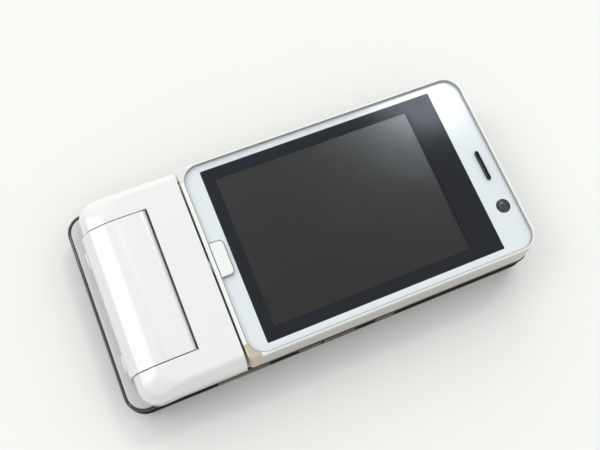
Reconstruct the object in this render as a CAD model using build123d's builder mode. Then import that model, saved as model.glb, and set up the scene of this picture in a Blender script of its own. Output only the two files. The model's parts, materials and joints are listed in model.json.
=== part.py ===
"""Two-axis folding phone, folded with its display outwards.

Millimetres, +Z up. The origin is the middle of the underside, +X runs from the hinge end
to the earpiece end, and +Y is the side away from the side keys.
"""

import os
from build123d import *

# Overall sizes
overall_length = 101.3
overall_width = 48.6
overall_height = 19.0
base_height = 9.5
closing_gap = 1.0
swivel_gap = 0.5
hinge_length = 27.7

# Shared clearances and the overrun of cuts
seat_gap = 0.05
running_gap = 0.04
slide_gap = 0.15
overrun = 3.0

# Fold barrel, knuckle and hinge block
barrel_dip = 0.3
fold_reach = 19.3
arm_width = 7.5
knuckle_lip = 0.6
knuckle_reach = 10.2
knuckle_edge = 0.8
knuckle_wall = 1.3
knuckle_gap = 0.5
groove_gap = 0.25
block_side_inset = 0.1
block_corner = 4.2
side_round_width = 2.9
side_round_height = 6.0
pin_floor = 0.65
hinge_wall = 1.4
arm_inner_wall = 1.5
arm_outer_wall = 2.0
arm_cavity_back = 2.8

# Fold pins, hinge unit and bush
pin_radius = 1.5
pin_head_radius = 2.0
pin_head = 1.0
pin_depth = 6.0
hinge_unit_radius = 2.7
hinge_unit_length = 11.0
bush_radius = 2.4
bush_length = 4.0

# Swivel shaft, bush and bracket
shaft_radius = 1.9
shaft_bore = 1.3
shaft_flange_radius = 2.4
shaft_flange = 0.8
swivel_bush_wall = 0.6
bracket_thickness = 1.0
bracket_half_width = 11.0
bracket_rim = 0.21

# Base outline and shells
base_setback = 0.25
base_side_inset = 0.12
base_hinge_corner = 4.5
base_free_corner = 2.8
base_wall = 1.4
base_foot_round = 2.2
rear_case_top = 4.0
rear_floor = 2.4
trim_height = 0.6
trim_proud = 0.08
rim_drop = 0.2
rim_width = 0.6
deck_thickness = 1.1
deck_round = 0.45
base_boss_radius = 1.9
base_boss_side = 3.0
base_boss_inset = 11.5

# Battery and its cover
battery_reach = 15.95
battery_end_margin = 9.4
battery_side = 6.3
battery_top = 4.8
battery_corner = 1.5
bay_gap = 0.4
cover_reach = 11.55
cover_setback = 0.8
cover_side = 2.8
cover_lift = 0.1
cover_thickness = 1.1
cover_tongue = 0.6
cover_tongue_height = 0.5
cover_corner = 6.3
cover_end_round = 0.9

# Boards, can and key mat
board_back = 11.05
board_end_margin = 8.4
board_side = 5.6
board_thickness = 0.8
board_corner = 1.0
can_length = 30.0
can_reach = 2.95
can_side = 9.8
can_height = 1.1
unit_round = 0.35
mat_back = 6.55
mat_end_margin = 5.9
mat_side = 5.8
mat_thickness = 0.65
mat_gap = 0.1

# Keys on the deck
key_proud = 0.45
key_travel_gap = 0.3
flange_height = 0.35
flange_reach = 0.5
flange_gap = 0.1
key_round = 0.35
keypad_reach = 34.05
keypad_end_margin = 4.3
keypad_side = 5.9
digit_gap_x = 1.8
digit_gap_y = 2.0
digit_flat = 3.0
nav_reach = 19.55
nav_radius = 8.6
nav_gap = 1.8
nav_center_radius = 3.6
function_edge = 6.2
function_length = 6.6
function_rounding = 0.2778
soft_reach = 13.15
call_reach = 29.35

# Keys on the near side
side_key_proud = 0.12
side_key_low = 6.2
side_key_height = 1.9
side_key_flange = 0.5
side_key_round = 0.3
side_key_inset = 0.25
side_key_a_reach = 12.5
side_key_a_length = 5.7
side_key_b_reach = 18.8
side_key_b_length = 8.0
side_key_c_reach = 32.0
side_key_c_length = 4.9

# Small units in the base
speaker_back = 3.05
speaker_side = 14.8
speaker_radius = 6.5
speaker_height = 2.4
speaker_slot = 6.0
speaker_slot_width = 0.9
speaker_slot_pitch = 2.2
motor_back = 4.05
motor_side = 11.8
motor_radius = 1.7
motor_length = 9.0
mic_inset = 2.5
mic_y = 9.0
mic_radius = 1.0
mic_height = 1.2
mic_hole_radius = 0.4
port_half_width = 5.0
port_low = 5.1
port_height = 2.0
port_depth = 4.0
port_wall = 0.4
camera_reach = 2.25
camera_size = 10.0
camera_height = 3.6
camera_lens_radius = 2.6
camera_window_radius = 3.9
camera_window_lift = 0.3
camera_window_thickness = 0.9

# Screws
screw_radius = 0.7
screw_head_radius = 1.3
screw_head = 0.7
screw_length = 3.4
base_screw_length = 5.6
screw_sink = 0.4
drive_radius = 0.45
drive_depth = 0.35
boss_radius = 1.7

# Display half outline and shells
lid_rear_height = 2.7
lid_top_inset = 1.0
lid_end_inset = 0.75
lid_back_corner = 1.0
lid_end_corner = 5.4
lid_rim_round = 0.4
lid_foot_round = 2.6
lid_wall = 1.5
lid_floor = 1.2
lid_ledge_drop = 1.8
cap_reach = 3.3
cap_wrap = 3.15

# Front panel, prints and window, measured from the gap's middle
panel_start = 1.25
panel_end_margin = 1.46
panel_side = 1.45
panel_back_corner = 4.0
panel_end_corner = 4.0
panel_thickness = 0.8
panel_groove = 0.12
panel_round = 0.2
print_thickness = 0.15
window_start = 5.39
window_end_margin = 7.69
window_side = 1.67
window_corner = 0.3
screen_start = 8.19
screen_end_margin = 7.49
screen_side = 2.89

# Display unit and board
lcd_start = 6.2
lcd_end_margin = 3.45
lcd_side = 0.98
lcd_thickness = 2.6
lcd_corner = 0.6
display_board_margin = 1.2
display_board_thickness = 0.8
display_board_gap = 0.4
lcd_side_gap = 0.5

# Earpiece, front camera and the tab over the swivel shaft
ear_end_margin = 3.44
ear_y = -0.9
ear_slot = 7.7
ear_slot_width = 0.9
ear_dish = 11.6
ear_dish_width = 2.9
ear_dish_depth = 0.2
ear_length = 10.4
ear_width = 4.6
ear_height = 2.2
front_camera_end_margin = 3.24
front_camera_y = -11.7
front_camera_radius = 1.7
front_camera_body = 2.3
front_camera_height = 3.0
tab_start = 1.35
tab_end = 4.4
tab_half_width = 4.1
tab_corner = 1.0
tab_depth = 1.4
tab_groove = 0.14
tab_round = 0.2

# Places worked out from the sizes above
end_x = overall_length / 2
hinge_x = -end_x
gap_x = hinge_x + hinge_length
block_front_x = gap_x - swivel_gap / 2
lid_back_x = gap_x + swivel_gap / 2
lid_low_z = base_height + closing_gap
fold_x = gap_x - fold_reach
barrel_radius = (overall_height - base_height + barrel_dip) / 2
knuckle_nose = barrel_radius + knuckle_lip
lid_half = overall_width / 2
block_width = overall_width - 2 * block_side_inset
base_half_width = lid_half - base_side_inset
knuckle_width = block_width - 2 * arm_width
fold_z = overall_height - barrel_radius
swivel_z = (lid_low_z + overall_height) / 2
hinge_part_z = fold_z - pin_radius - seat_gap - pin_floor
knuckle_half = knuckle_width / 2
arm_inner_y = knuckle_half + slide_gap
cut_radius = (knuckle_reach ** 2 + barrel_radius ** 2) ** 0.5 + knuckle_gap
base_start_x = hinge_x + trim_proud
base_end_x = end_x - base_setback
deck_low_z = base_height - deck_thickness
frame_top_z = base_height - rim_drop
trim_top_z = rear_case_top + trim_height
base_boss_y = base_half_width - base_boss_side
battery_low_x = gap_x + battery_reach
battery_high_x = base_end_x - battery_end_margin
battery_x = (battery_low_x + battery_high_x) / 2
battery_length = battery_high_x - battery_low_x
battery_width = 2 * (base_half_width - battery_side)
cover_half_width = base_half_width - cover_side
board_low_x = gap_x - board_back
board_high_x = base_end_x - board_end_margin
can_x = gap_x + can_reach + can_length / 2
can_width = 2 * (base_half_width - can_side)
mat_low_x = gap_x - mat_back
mat_high_x = base_end_x - mat_end_margin
keypad_low_x = gap_x + keypad_reach
keypad_high_x = base_end_x - keypad_end_margin
digit_length = (keypad_high_x - keypad_low_x - 3 * digit_gap_x) / 4
digit_width = (2 * (base_half_width - keypad_side) - 2 * digit_gap_y) / 3
digit_corner = (digit_length - digit_flat) / 2
digit_pitch_x = digit_length + digit_gap_x
digit_pitch_y = digit_width + digit_gap_y
digit_x = (keypad_low_x + keypad_high_x) / 2
function_width = base_half_width - function_edge - nav_gap - nav_radius
function_corner = function_width * function_rounding
function_y = base_half_width - function_edge - function_width / 2
nav_x = gap_x + nav_reach
soft_x = gap_x + soft_reach
call_x = gap_x + call_reach
speaker_x = gap_x - speaker_back
speaker_y = speaker_side - base_half_width
motor_x = gap_x - motor_back
motor_y = base_half_width - motor_side
camera_x = fold_x + camera_reach
flange_top_z = deck_low_z - flange_gap
flange_low_z = flange_top_z - flange_height
mat_top_z = flange_low_z - key_travel_gap
board_top_z = mat_top_z - mat_thickness - mat_gap
board_low_z = board_top_z - board_thickness
lid_split_z = lid_low_z + lid_rear_height
panel_low_z = overall_height - panel_thickness
print_low_z = panel_low_z - seat_gap - print_thickness
ledge_low_z = overall_height - lid_ledge_drop
cavity_roof_z = overall_height - hinge_wall
panel_end = end_x - gap_x - panel_end_margin
panel_half_width = lid_half - panel_side
window_end = panel_end - window_end_margin
window_half_width = panel_half_width - window_side
screen_end = window_end - screen_end_margin
screen_half_width = window_half_width - screen_side
lcd_end = window_end - lcd_end_margin
lcd_half_width = window_half_width - lcd_side
ear_reach = panel_end - ear_end_margin
front_camera_reach = panel_end - front_camera_end_margin
cap_half_inner = panel_half_width - cap_wrap

os.makedirs("parts", exist_ok=True)


def finish(piece, name):
    """Label a finished piece and write it to its own file."""
    piece.part.label = name
    export_step(piece.part, f"parts/{name}.step")


def area(z, x_low, x_high, y_low, y_high):
    """Plain rectangle in plan at height z."""
    with BuildSketch(Plane.XY.offset(z)) as sketch:
        with Locations(((x_low + x_high) / 2, (y_low + y_high) / 2)):
            Rectangle(x_high - x_low, y_high - y_low)
    return sketch.sketch


def plan(z, x_low, x_high, half_width, low_corner, high_corner):
    """Rectangle in plan, with one corner radius at each end."""
    with BuildSketch(Plane.XY.offset(z)) as sketch:
        with Locations(((x_low + x_high) / 2, 0)):
            Rectangle(x_high - x_low, 2 * half_width)
        fillet(sketch.vertices().group_by(Axis.X)[0], low_corner)
        fillet(sketch.vertices().group_by(Axis.X)[-1], high_corner)
    return sketch.sketch


def pad(z, x, y, length, width, corner):
    """Rounded rectangle in plan round a middle point."""
    with BuildSketch(Plane.XY.offset(z)) as sketch:
        with Locations((x, y)):
            RectangleRounded(length, width, corner)
    return sketch.sketch


def disc(origin, direction, radius):
    """Circle square to a direction."""
    with BuildSketch(Plane(origin=origin, z_dir=direction)) as sketch:
        Circle(radius)
    return sketch.sketch


def slot(z, x, y, length, width):
    """Slot in plan that runs across the phone."""
    with BuildSketch(Plane.XY.offset(z)) as sketch:
        with Locations((x, y)):
            SlotOverall(length, width, rotation=90)
    return sketch.sketch


def base_plan(z, inset):
    """Outline of the base, drawn in by an inset."""
    return plan(
        z,
        base_start_x + inset,
        base_end_x - inset,
        base_half_width - inset,
        base_hinge_corner - inset,
        base_free_corner - inset,
    )


def panel_plan(z, inset):
    """Outline of the front panel, drawn in by an inset."""
    return plan(
        z,
        gap_x + panel_start + inset,
        gap_x + panel_end - inset,
        panel_half_width - inset,
        panel_back_corner - inset,
        panel_end_corner - inset,
    )


def tab_plan(z, grow):
    """Outline of the tab, with its rounded end towards the display."""
    with BuildSketch(Plane.XY.offset(z)) as sketch:
        with Locations((gap_x + (tab_start + tab_end) / 2, 0)):
            Rectangle(tab_end - tab_start + 2 * grow, 2 * (tab_half_width + grow))
        fillet(sketch.vertices().group_by(Axis.X)[-1], tab_corner + grow)
    return sketch.sketch


def knuckle_side(y, inset):
    """Side profile of the knuckle: flat top and an elliptic nose."""
    nose_x = knuckle_nose - inset
    nose_z = barrel_radius - inset
    right_x = fold_x + knuckle_reach - inset
    with BuildSketch(Plane(origin=(0, y, 0), x_dir=(1, 0, 0), z_dir=(0, -1, 0))) as sketch:
        with BuildLine():
            nose = EllipticalCenterArc((fold_x, fold_z), nose_x, nose_z, start_angle=90, arc_size=90)
            Polyline(
                nose @ 1,
                (fold_x - nose_x, base_height),
                (right_x, base_height),
                (right_x, fold_z + nose_z),
                nose @ 0,
            )
        make_face()
    return sketch.sketch


def screw(x, y, z, length):
    """Pan-head screw, head down, with a plain drive recess."""
    with BuildPart() as piece:
        extrude(disc((x, y, z), (0, 0, 1), screw_head_radius), amount=screw_head)
        extrude(disc((x, y, z + screw_head), (0, 0, 1), screw_radius), amount=length)
        extrude(disc((x, y, z), (0, 0, 1), drive_radius), amount=drive_depth, mode=Mode.SUBTRACT)
    return piece.part


def screw_group(places, z, length):
    """Like screws at several places, as separate solids."""
    with BuildPart() as piece:
        for x, y in places:
            add(screw(x, y, z, length))
    return piece


def screw_seat(x, y, z_low, z_high):
    """Hole for a screw's head and shank from z_low, open below, up to z_high."""
    head_top = z_low + screw_head + seat_gap
    with BuildPart() as piece:
        head = disc((x, y, z_low - overrun), (0, 0, 1), screw_head_radius + seat_gap)
        extrude(head, amount=head_top - z_low + overrun)
        shank = disc((x, y, head_top), (0, 0, 1), screw_radius + seat_gap)
        extrude(shank, amount=z_high - head_top)
    return piece.part


# Base rear case
base_screw_places = [
    (x, side * base_boss_y)
    for x in (base_start_x + base_boss_inset, base_end_x - base_boss_inset)
    for side in (-1, 1)
]
cover_high_x = base_end_x - cover_setback
cover_low_x = gap_x + cover_reach
cover_top_z = cover_lift + cover_thickness
recess_top_z = cover_top_z + slide_gap
base_screw_z = recess_top_z + seat_gap
base_screw_top = base_screw_z + screw_head + base_screw_length + seat_gap

with BuildPart() as base_rear_case:
    extrude(base_plan(0, 0), amount=rear_case_top)
    fillet(base_rear_case.faces().sort_by(Axis.Z)[0].edges(), base_foot_round)
    extrude(base_plan(rear_floor, base_wall), amount=rear_case_top, mode=Mode.SUBTRACT)
    for x, y in base_screw_places:
        extrude(disc((x, y, rear_floor), (0, 0, 1), base_boss_radius), amount=rear_case_top - rear_floor)
    recess = area(0, cover_low_x - slide_gap, end_x + overrun,
                  -cover_half_width - slide_gap, cover_half_width + slide_gap)
    extrude(recess, amount=recess_top_z, mode=Mode.SUBTRACT)
    tongue_reach = cover_half_width + cover_tongue + slide_gap
    groove = area(recess_top_z - cover_tongue_height - 2 * slide_gap, cover_low_x - slide_gap,
                  end_x + overrun, -tongue_reach, tongue_reach)
    extrude(groove, amount=cover_tongue_height + 2 * slide_gap, mode=Mode.SUBTRACT)
    bay = pad(0, battery_x, 0, battery_length + 2 * bay_gap, battery_width + 2 * bay_gap, battery_corner)
    extrude(bay, amount=rear_case_top, mode=Mode.SUBTRACT)
    extrude(disc((camera_x, 0, -overrun), (0, 0, 1), camera_window_radius + seat_gap),
            amount=rear_floor + 2 * overrun, mode=Mode.SUBTRACT)
    for step in (-1, 0, 1):
        extrude(slot(0, speaker_x + step * speaker_slot_pitch, speaker_y, speaker_slot,
                     speaker_slot_width), amount=rear_case_top, mode=Mode.SUBTRACT)
    for x, y in base_screw_places:
        add(screw_seat(x, y, base_screw_z, base_screw_top), mode=Mode.SUBTRACT)
finish(base_rear_case, "base_rear_case")

# Battery cover with a tongue along each side
with BuildPart() as battery_cover:
    extrude(plan(cover_lift, cover_low_x, cover_high_x, cover_half_width, cover_end_round, cover_corner),
            amount=cover_thickness)
    end_edges = battery_cover.faces().sort_by(Axis.Z)[0].edges().filter_by(GeomType.LINE)
    fillet(end_edges.sort_by(Axis.X)[-1], cover_end_round)
    tongue = area(cover_top_z - cover_tongue_height, cover_low_x + cover_corner, cover_high_x - cover_corner,
                  -cover_half_width - cover_tongue, cover_half_width + cover_tongue)
    extrude(tongue, amount=cover_tongue_height)
finish(battery_cover, "battery_cover")

# Battery pack
with BuildPart() as battery_pack:
    battery_low_z = recess_top_z + seat_gap
    extrude(pad(battery_low_z, battery_x, 0, battery_length, battery_width, battery_corner),
            amount=battery_top - battery_low_z)
finish(battery_pack, "battery_pack")

# Trim band between the rear case and the side frame
with BuildPart() as base_trim_band:
    extrude(base_plan(rear_case_top, -trim_proud), amount=trim_height)
    extrude(base_plan(rear_case_top, base_wall), amount=trim_height, mode=Mode.SUBTRACT)
finish(base_trim_band, "base_trim_band")

# Side frame with the screw bosses, side key openings and port
side_keys = [
    ("side_key_a", side_key_a_reach, side_key_a_length),
    ("side_key_b", side_key_b_reach, side_key_b_length),
    ("side_key_c", side_key_c_reach, side_key_c_length),
]
barrel_groove = disc((fold_x, -overall_width / 2 - overrun, fold_z), (0, 1, 0), barrel_radius + groove_gap)

with BuildPart() as base_side_frame:
    extrude(base_plan(trim_top_z, 0), amount=frame_top_z - trim_top_z)
    extrude(base_plan(trim_top_z, base_wall), amount=deck_low_z - trim_top_z, mode=Mode.SUBTRACT)
    extrude(base_plan(deck_low_z, rim_width), amount=base_height, mode=Mode.SUBTRACT)
    for x, y in base_screw_places:
        boss = disc((x, y, trim_top_z), (0, 0, 1), base_boss_radius)
        extrude(boss, amount=deck_low_z - trim_top_z)
        add(screw_seat(x, y, base_screw_z, base_screw_top), mode=Mode.SUBTRACT)
    for name, reach, length in side_keys:
        opening = area(side_key_low - seat_gap, gap_x + reach - seat_gap, gap_x + reach + length + seat_gap,
                       -base_half_width - overrun, -base_half_width + base_wall + overrun / 2)
        extrude(opening, amount=side_key_height + 2 * seat_gap, mode=Mode.SUBTRACT)
    port = area(port_low, base_end_x - base_wall - overrun / 2, base_end_x + overrun,
                -port_half_width, port_half_width)
    extrude(port, amount=port_height, mode=Mode.SUBTRACT)
    extrude(barrel_groove, amount=overall_width + 2 * overrun, mode=Mode.SUBTRACT)
finish(base_side_frame, "base_side_frame")

# Side keys
for name, reach, length in side_keys:
    with BuildPart() as side_key:
        outer_y = -base_half_width - side_key_proud
        inner_y = -base_half_width + base_wall + side_key_inset
        extrude(area(side_key_low, gap_x + reach, gap_x + reach + length, outer_y, inner_y),
                amount=side_key_height)
        fillet(side_key.faces().sort_by(Axis.Y)[0].edges(), side_key_round)
        flange = area(side_key_low - side_key_flange, gap_x + reach - side_key_inset,
                      gap_x + reach + length + side_key_inset, inner_y, inner_y + side_key_flange)
        extrude(flange, amount=side_key_height + side_key_flange)
    finish(side_key, name)

# Front case: deck with key openings and the knuckle's lower walls
digit_names = ["1", "2", "3", "4", "5", "6", "7", "8", "9", "star", "0", "hash"]
deck_keys = []
for index, digit in enumerate(digit_names):
    row = index // 3
    column = index % 3
    key_x = digit_x + (row - 1.5) * digit_pitch_x
    key_y = (column - 1) * digit_pitch_y
    deck_keys.append((f"key_{digit}", key_x, key_y, digit_length, digit_width, digit_corner))
for name, key_x, side in (
    ("soft_key_left", soft_x, -1),
    ("soft_key_right", soft_x, 1),
    ("call_key", call_x, -1),
    ("end_key", call_x, 1),
):
    deck_keys.append((name, key_x, side * function_y, function_length, function_width, function_corner))

with BuildPart() as base_front_case:
    extrude(base_plan(deck_low_z, rim_width + seat_gap), amount=deck_thickness)
    fillet(base_front_case.faces().sort_by(Axis.Z)[-1].edges(), deck_round)
    for name, key_x, key_y, length, width, corner in deck_keys:
        extrude(pad(deck_low_z - overrun, key_x, key_y, length + 2 * seat_gap, width + 2 * seat_gap,
                    corner + seat_gap), amount=deck_thickness + 2 * overrun, mode=Mode.SUBTRACT)
    extrude(disc((nav_x, 0, deck_low_z - overrun), (0, 0, 1), nav_radius + seat_gap),
            amount=deck_thickness + 2 * overrun, mode=Mode.SUBTRACT)
    extrude(disc((base_end_x - mic_inset, mic_y, deck_low_z - overrun), (0, 0, 1), mic_hole_radius),
            amount=deck_thickness + 2 * overrun, mode=Mode.SUBTRACT)
    extrude(barrel_groove, amount=overall_width + 2 * overrun, mode=Mode.SUBTRACT)
    floor = area(deck_low_z, fold_x - knuckle_nose, fold_x + knuckle_reach, -knuckle_half, knuckle_half)
    extrude(floor, amount=deck_thickness)
    knuckle_foot = area(base_height, fold_x - knuckle_nose, fold_x + knuckle_reach, -knuckle_half, knuckle_half)
    extrude(knuckle_foot, amount=hinge_part_z - base_height)
    knuckle_well = area(base_height, fold_x - knuckle_nose + knuckle_wall, fold_x + knuckle_reach - knuckle_wall,
                        -knuckle_half + knuckle_wall, knuckle_half - knuckle_wall)
    extrude(knuckle_well, amount=hinge_part_z, mode=Mode.SUBTRACT)
finish(base_front_case, "base_front_case")

# Knuckle cover with the bores for the fold pins
with BuildPart() as knuckle_cover:
    extrude(knuckle_side(knuckle_half, 0), amount=knuckle_width)
    top_edges = knuckle_cover.faces().sort_by(Axis.Z)[-1].edges().sort_by(Axis.X)
    fillet(top_edges[-1], knuckle_edge)
    extrude(knuckle_side(knuckle_half - knuckle_wall, knuckle_wall), amount=knuckle_width - 2 * knuckle_wall,
            mode=Mode.SUBTRACT)
    lower = area(base_height - overrun, hinge_x, end_x, -overall_width, overall_width)
    extrude(lower, amount=hinge_part_z - base_height + overrun, mode=Mode.SUBTRACT)
    extrude(disc((fold_x, -overall_width, fold_z), (0, 1, 0), pin_radius + running_gap),
            amount=2 * overall_width, mode=Mode.SUBTRACT)
finish(knuckle_cover, "knuckle_cover")

# Fold hinge unit, bush and pins
unit_y = knuckle_half - knuckle_wall

with BuildPart() as fold_hinge_unit:
    extrude(disc((fold_x, -unit_y, fold_z), (0, 1, 0), hinge_unit_radius), amount=hinge_unit_length)
    extrude(disc((fold_x, -unit_y, fold_z), (0, 1, 0), pin_radius + running_gap),
            amount=pin_depth + overrun / 2, mode=Mode.SUBTRACT)
finish(fold_hinge_unit, "fold_hinge_unit")

with BuildPart() as fold_bush:
    extrude(disc((fold_x, unit_y, fold_z), (0, -1, 0), bush_radius), amount=bush_length)
    extrude(disc((fold_x, unit_y, fold_z), (0, -1, 0), pin_radius + running_gap), amount=bush_length,
            mode=Mode.SUBTRACT)
finish(fold_bush, "fold_bush")

with BuildPart() as fold_pins:
    shank_end = arm_inner_y + arm_inner_wall
    for side in (-1, 1):
        extrude(disc((fold_x, side * (unit_y - pin_depth), fold_z), (0, side, 0), pin_radius),
                amount=shank_end - unit_y + pin_depth)
        extrude(disc((fold_x, side * shank_end, fold_z), (0, side, 0), pin_head_radius), amount=pin_head)
finish(fold_pins, "fold_pins")

# Main board, shield can and key mat
with BuildPart() as main_board:
    board_middle = (board_low_x + board_high_x) / 2
    extrude(pad(board_low_z, board_middle, 0, board_high_x - board_low_x, 2 * (base_half_width - board_side),
                board_corner), amount=board_thickness)
finish(main_board, "main_board")

with BuildPart() as shield_can:
    extrude(pad(board_low_z - can_height, can_x, 0, can_length, can_width, board_corner), amount=can_height)
    fillet(shield_can.faces().sort_by(Axis.Z)[0].edges(), unit_round)
finish(shield_can, "shield_can")

with BuildPart() as key_mat:
    mat_middle = (mat_low_x + mat_high_x) / 2
    extrude(pad(mat_top_z - mat_thickness, mat_middle, 0, mat_high_x - mat_low_x,
                2 * (base_half_width - mat_side), board_corner), amount=mat_thickness)
finish(key_mat, "key_mat")

# Keys of the deck, each with a flange below the deck
cap_height = base_height + key_proud - flange_top_z

for name, key_x, key_y, length, width, corner in deck_keys:
    with BuildPart() as deck_key:
        extrude(pad(flange_top_z, key_x, key_y, length, width, corner), amount=cap_height)
        fillet(deck_key.faces().sort_by(Axis.Z)[-1].edges(), key_round)
        extrude(pad(flange_low_z, key_x, key_y, length + 2 * flange_reach, width + 2 * flange_reach,
                    corner + flange_reach), amount=flange_height)
    finish(deck_key, name)

with BuildPart() as nav_ring:
    extrude(disc((nav_x, 0, flange_top_z), (0, 0, 1), nav_radius), amount=cap_height)
    fillet(nav_ring.faces().sort_by(Axis.Z)[-1].edges(), key_round)
    extrude(disc((nav_x, 0, flange_low_z), (0, 0, 1), nav_radius + flange_reach), amount=flange_height)
    center_well = disc((nav_x, 0, flange_low_z - overrun), (0, 0, 1), nav_center_radius + seat_gap)
    extrude(center_well, amount=base_height, mode=Mode.SUBTRACT)
finish(nav_ring, "nav_ring")

with BuildPart() as nav_center:
    extrude(disc((nav_x, 0, flange_low_z), (0, 0, 1), nav_center_radius), amount=cap_height + flange_height)
    fillet(nav_center.faces().sort_by(Axis.Z)[-1].edges(), key_round)
finish(nav_center, "nav_center")

# Loudspeaker, vibration motor, microphone and system connector
with BuildPart() as loudspeaker:
    extrude(disc((speaker_x, speaker_y, rear_floor + seat_gap), (0, 0, 1), speaker_radius),
            amount=speaker_height)
    fillet(loudspeaker.faces().sort_by(Axis.Z)[-1].edges(), unit_round)
finish(loudspeaker, "loudspeaker")

with BuildPart() as vibration_motor:
    motor_z = rear_floor + seat_gap + motor_radius
    extrude(disc((motor_x - motor_length / 2, motor_y, motor_z), (1, 0, 0), motor_radius), amount=motor_length)
finish(vibration_motor, "vibration_motor")

with BuildPart() as microphone:
    extrude(disc((base_end_x - mic_inset, mic_y, deck_low_z - seat_gap), (0, 0, -1), mic_radius),
            amount=mic_height)
    extrude(disc((base_end_x - mic_inset, mic_y, deck_low_z - seat_gap), (0, 0, -1), mic_hole_radius),
            amount=drive_depth, mode=Mode.SUBTRACT)
finish(microphone, "microphone")

with BuildPart() as system_connector:
    connector_end = base_end_x - base_wall - seat_gap
    extrude(area(port_low - port_wall, connector_end - port_depth, connector_end,
                 -port_half_width - port_wall, port_half_width + port_wall), amount=port_height + 2 * port_wall)
    extrude(area(port_low, connector_end - port_depth + port_wall, connector_end + overrun,
                 -port_half_width, port_half_width), amount=port_height, mode=Mode.SUBTRACT)
    blade = area(port_low + port_height / 2 - port_wall, connector_end - port_depth, connector_end - port_wall,
                 -port_half_width + 2 * port_wall, port_half_width - 2 * port_wall)
    extrude(blade, amount=2 * port_wall)
finish(system_connector, "system_connector")

# Rear camera and its window
with BuildPart() as camera_module:
    extrude(pad(rear_floor + seat_gap, camera_x, 0, camera_size, camera_size, board_corner),
            amount=camera_height)
    lens_low = camera_window_lift + camera_window_thickness + seat_gap
    extrude(disc((camera_x, 0, lens_low), (0, 0, 1), camera_lens_radius), amount=rear_floor)
finish(camera_module, "camera_module")

with BuildPart() as camera_window:
    extrude(disc((camera_x, 0, camera_window_lift), (0, 0, 1), camera_window_radius),
            amount=camera_window_thickness)
finish(camera_window, "camera_window")

base_screws = screw_group(base_screw_places, base_screw_z, base_screw_length)
finish(base_screws, "base_screws")


def hinge_block():
    """Hinge block as one body: barrel and arms, side rounding, plan corners and the knuckle's way."""
    half = block_width / 2
    side_plane = Plane(origin=(0, half, 0), x_dir=(1, 0, 0), z_dir=(0, -1, 0))
    front_plane = Plane(origin=(hinge_x - overrun, 0, 0), x_dir=(0, 1, 0), z_dir=(1, 0, 0))
    drop = fold_z - lid_low_z
    foot_x = fold_x + (barrel_radius ** 2 - drop ** 2) ** 0.5
    with BuildPart() as body:
        with BuildSketch(side_plane):
            with BuildLine():
                barrel = ThreePointArc(
                    (fold_x, overall_height), (fold_x - barrel_radius, fold_z), (fold_x, fold_z - barrel_radius))
                heel = RadiusArc(barrel @ 1, (foot_x, lid_low_z), -barrel_radius)
                Polyline(heel @ 1, (block_front_x, lid_low_z), (block_front_x, overall_height), barrel @ 0)
            make_face()
        extrude(amount=block_width)
        with BuildSketch(front_plane):
            shoulder_z = overall_height - side_round_height
            flat_y = half - side_round_width
            low_z = fold_z - barrel_radius - overrun
            with BuildLine():
                near = EllipticalCenterArc(
                    (flat_y, shoulder_z), side_round_width, side_round_height, start_angle=0, arc_size=90)
                far = EllipticalCenterArc(
                    (-flat_y, shoulder_z), side_round_width, side_round_height, start_angle=90, arc_size=90)
                Line(near @ 1, far @ 0)
                Polyline(far @ 1, (-half, low_z), (half, low_z), near @ 0)
            make_face()
        extrude(amount=overall_length, mode=Mode.INTERSECT)
        outline = plan(low_z, fold_x - barrel_radius, block_front_x, half, block_corner, seat_gap)
        extrude(outline, amount=overall_height, mode=Mode.INTERSECT)
        passage = disc((fold_x, -arm_inner_y, fold_z), (0, 1, 0), cut_radius)
        extrude(passage, amount=2 * arm_inner_y, mode=Mode.SUBTRACT)
    return body.part


# Hinge covers, split near the underside
hinge_screw_x = (fold_x + cut_radius + block_front_x) / 2
hinge_screw_y = (arm_inner_y + block_width / 2) / 2
hinge_screw_places = [(hinge_screw_x, side * hinge_screw_y) for side in (-1, 1)]
hinge_screw_z = lid_low_z + screw_sink
hinge_screw_top = hinge_screw_z + screw_head + screw_length + seat_gap

with BuildPart() as hinge_outer_cover:
    add(hinge_block())
    extrude(area(0, hinge_x, end_x, -overall_width, overall_width), amount=hinge_part_z, mode=Mode.SUBTRACT)
    bridge_low_x = fold_x + cut_radius + hinge_wall
    bridge_high_x = block_front_x - hinge_wall
    arm_low_y = arm_inner_y + arm_inner_wall
    arm_high_y = block_width / 2 - arm_outer_wall
    bridge = area(hinge_part_z, bridge_low_x, bridge_high_x, -arm_high_y, arm_high_y)
    extrude(bridge, amount=cavity_roof_z - hinge_part_z, mode=Mode.SUBTRACT)
    for side in (-1, 1):
        arm = area(hinge_part_z, fold_x - arm_cavity_back, bridge_high_x,
                   min(side * arm_low_y, side * arm_high_y), max(side * arm_low_y, side * arm_high_y))
        extrude(arm, amount=cavity_roof_z - hinge_part_z, mode=Mode.SUBTRACT)
    for x, y in hinge_screw_places:
        extrude(disc((x, y, hinge_part_z), (0, 0, 1), boss_radius), amount=cavity_roof_z - hinge_part_z)
        add(screw_seat(x, y, hinge_screw_z, hinge_screw_top), mode=Mode.SUBTRACT)
    extrude(disc((fold_x, -arm_low_y, fold_z), (0, 1, 0), pin_radius + seat_gap), amount=2 * arm_low_y,
            mode=Mode.SUBTRACT)
    extrude(disc((bridge_high_x - overrun / 2, 0, swivel_z), (1, 0, 0),
                 shaft_radius + running_gap + swivel_bush_wall + seat_gap),
            amount=hinge_wall + overrun, mode=Mode.SUBTRACT)
finish(hinge_outer_cover, "hinge_outer_cover")

with BuildPart() as hinge_inner_cover:
    add(hinge_block())
    extrude(area(hinge_part_z, hinge_x, end_x, -overall_width, overall_width), amount=overall_height,
            mode=Mode.SUBTRACT)
    for x, y in hinge_screw_places:
        add(screw_seat(x, y, hinge_screw_z, hinge_screw_top), mode=Mode.SUBTRACT)
finish(hinge_inner_cover, "hinge_inner_cover")

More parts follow.
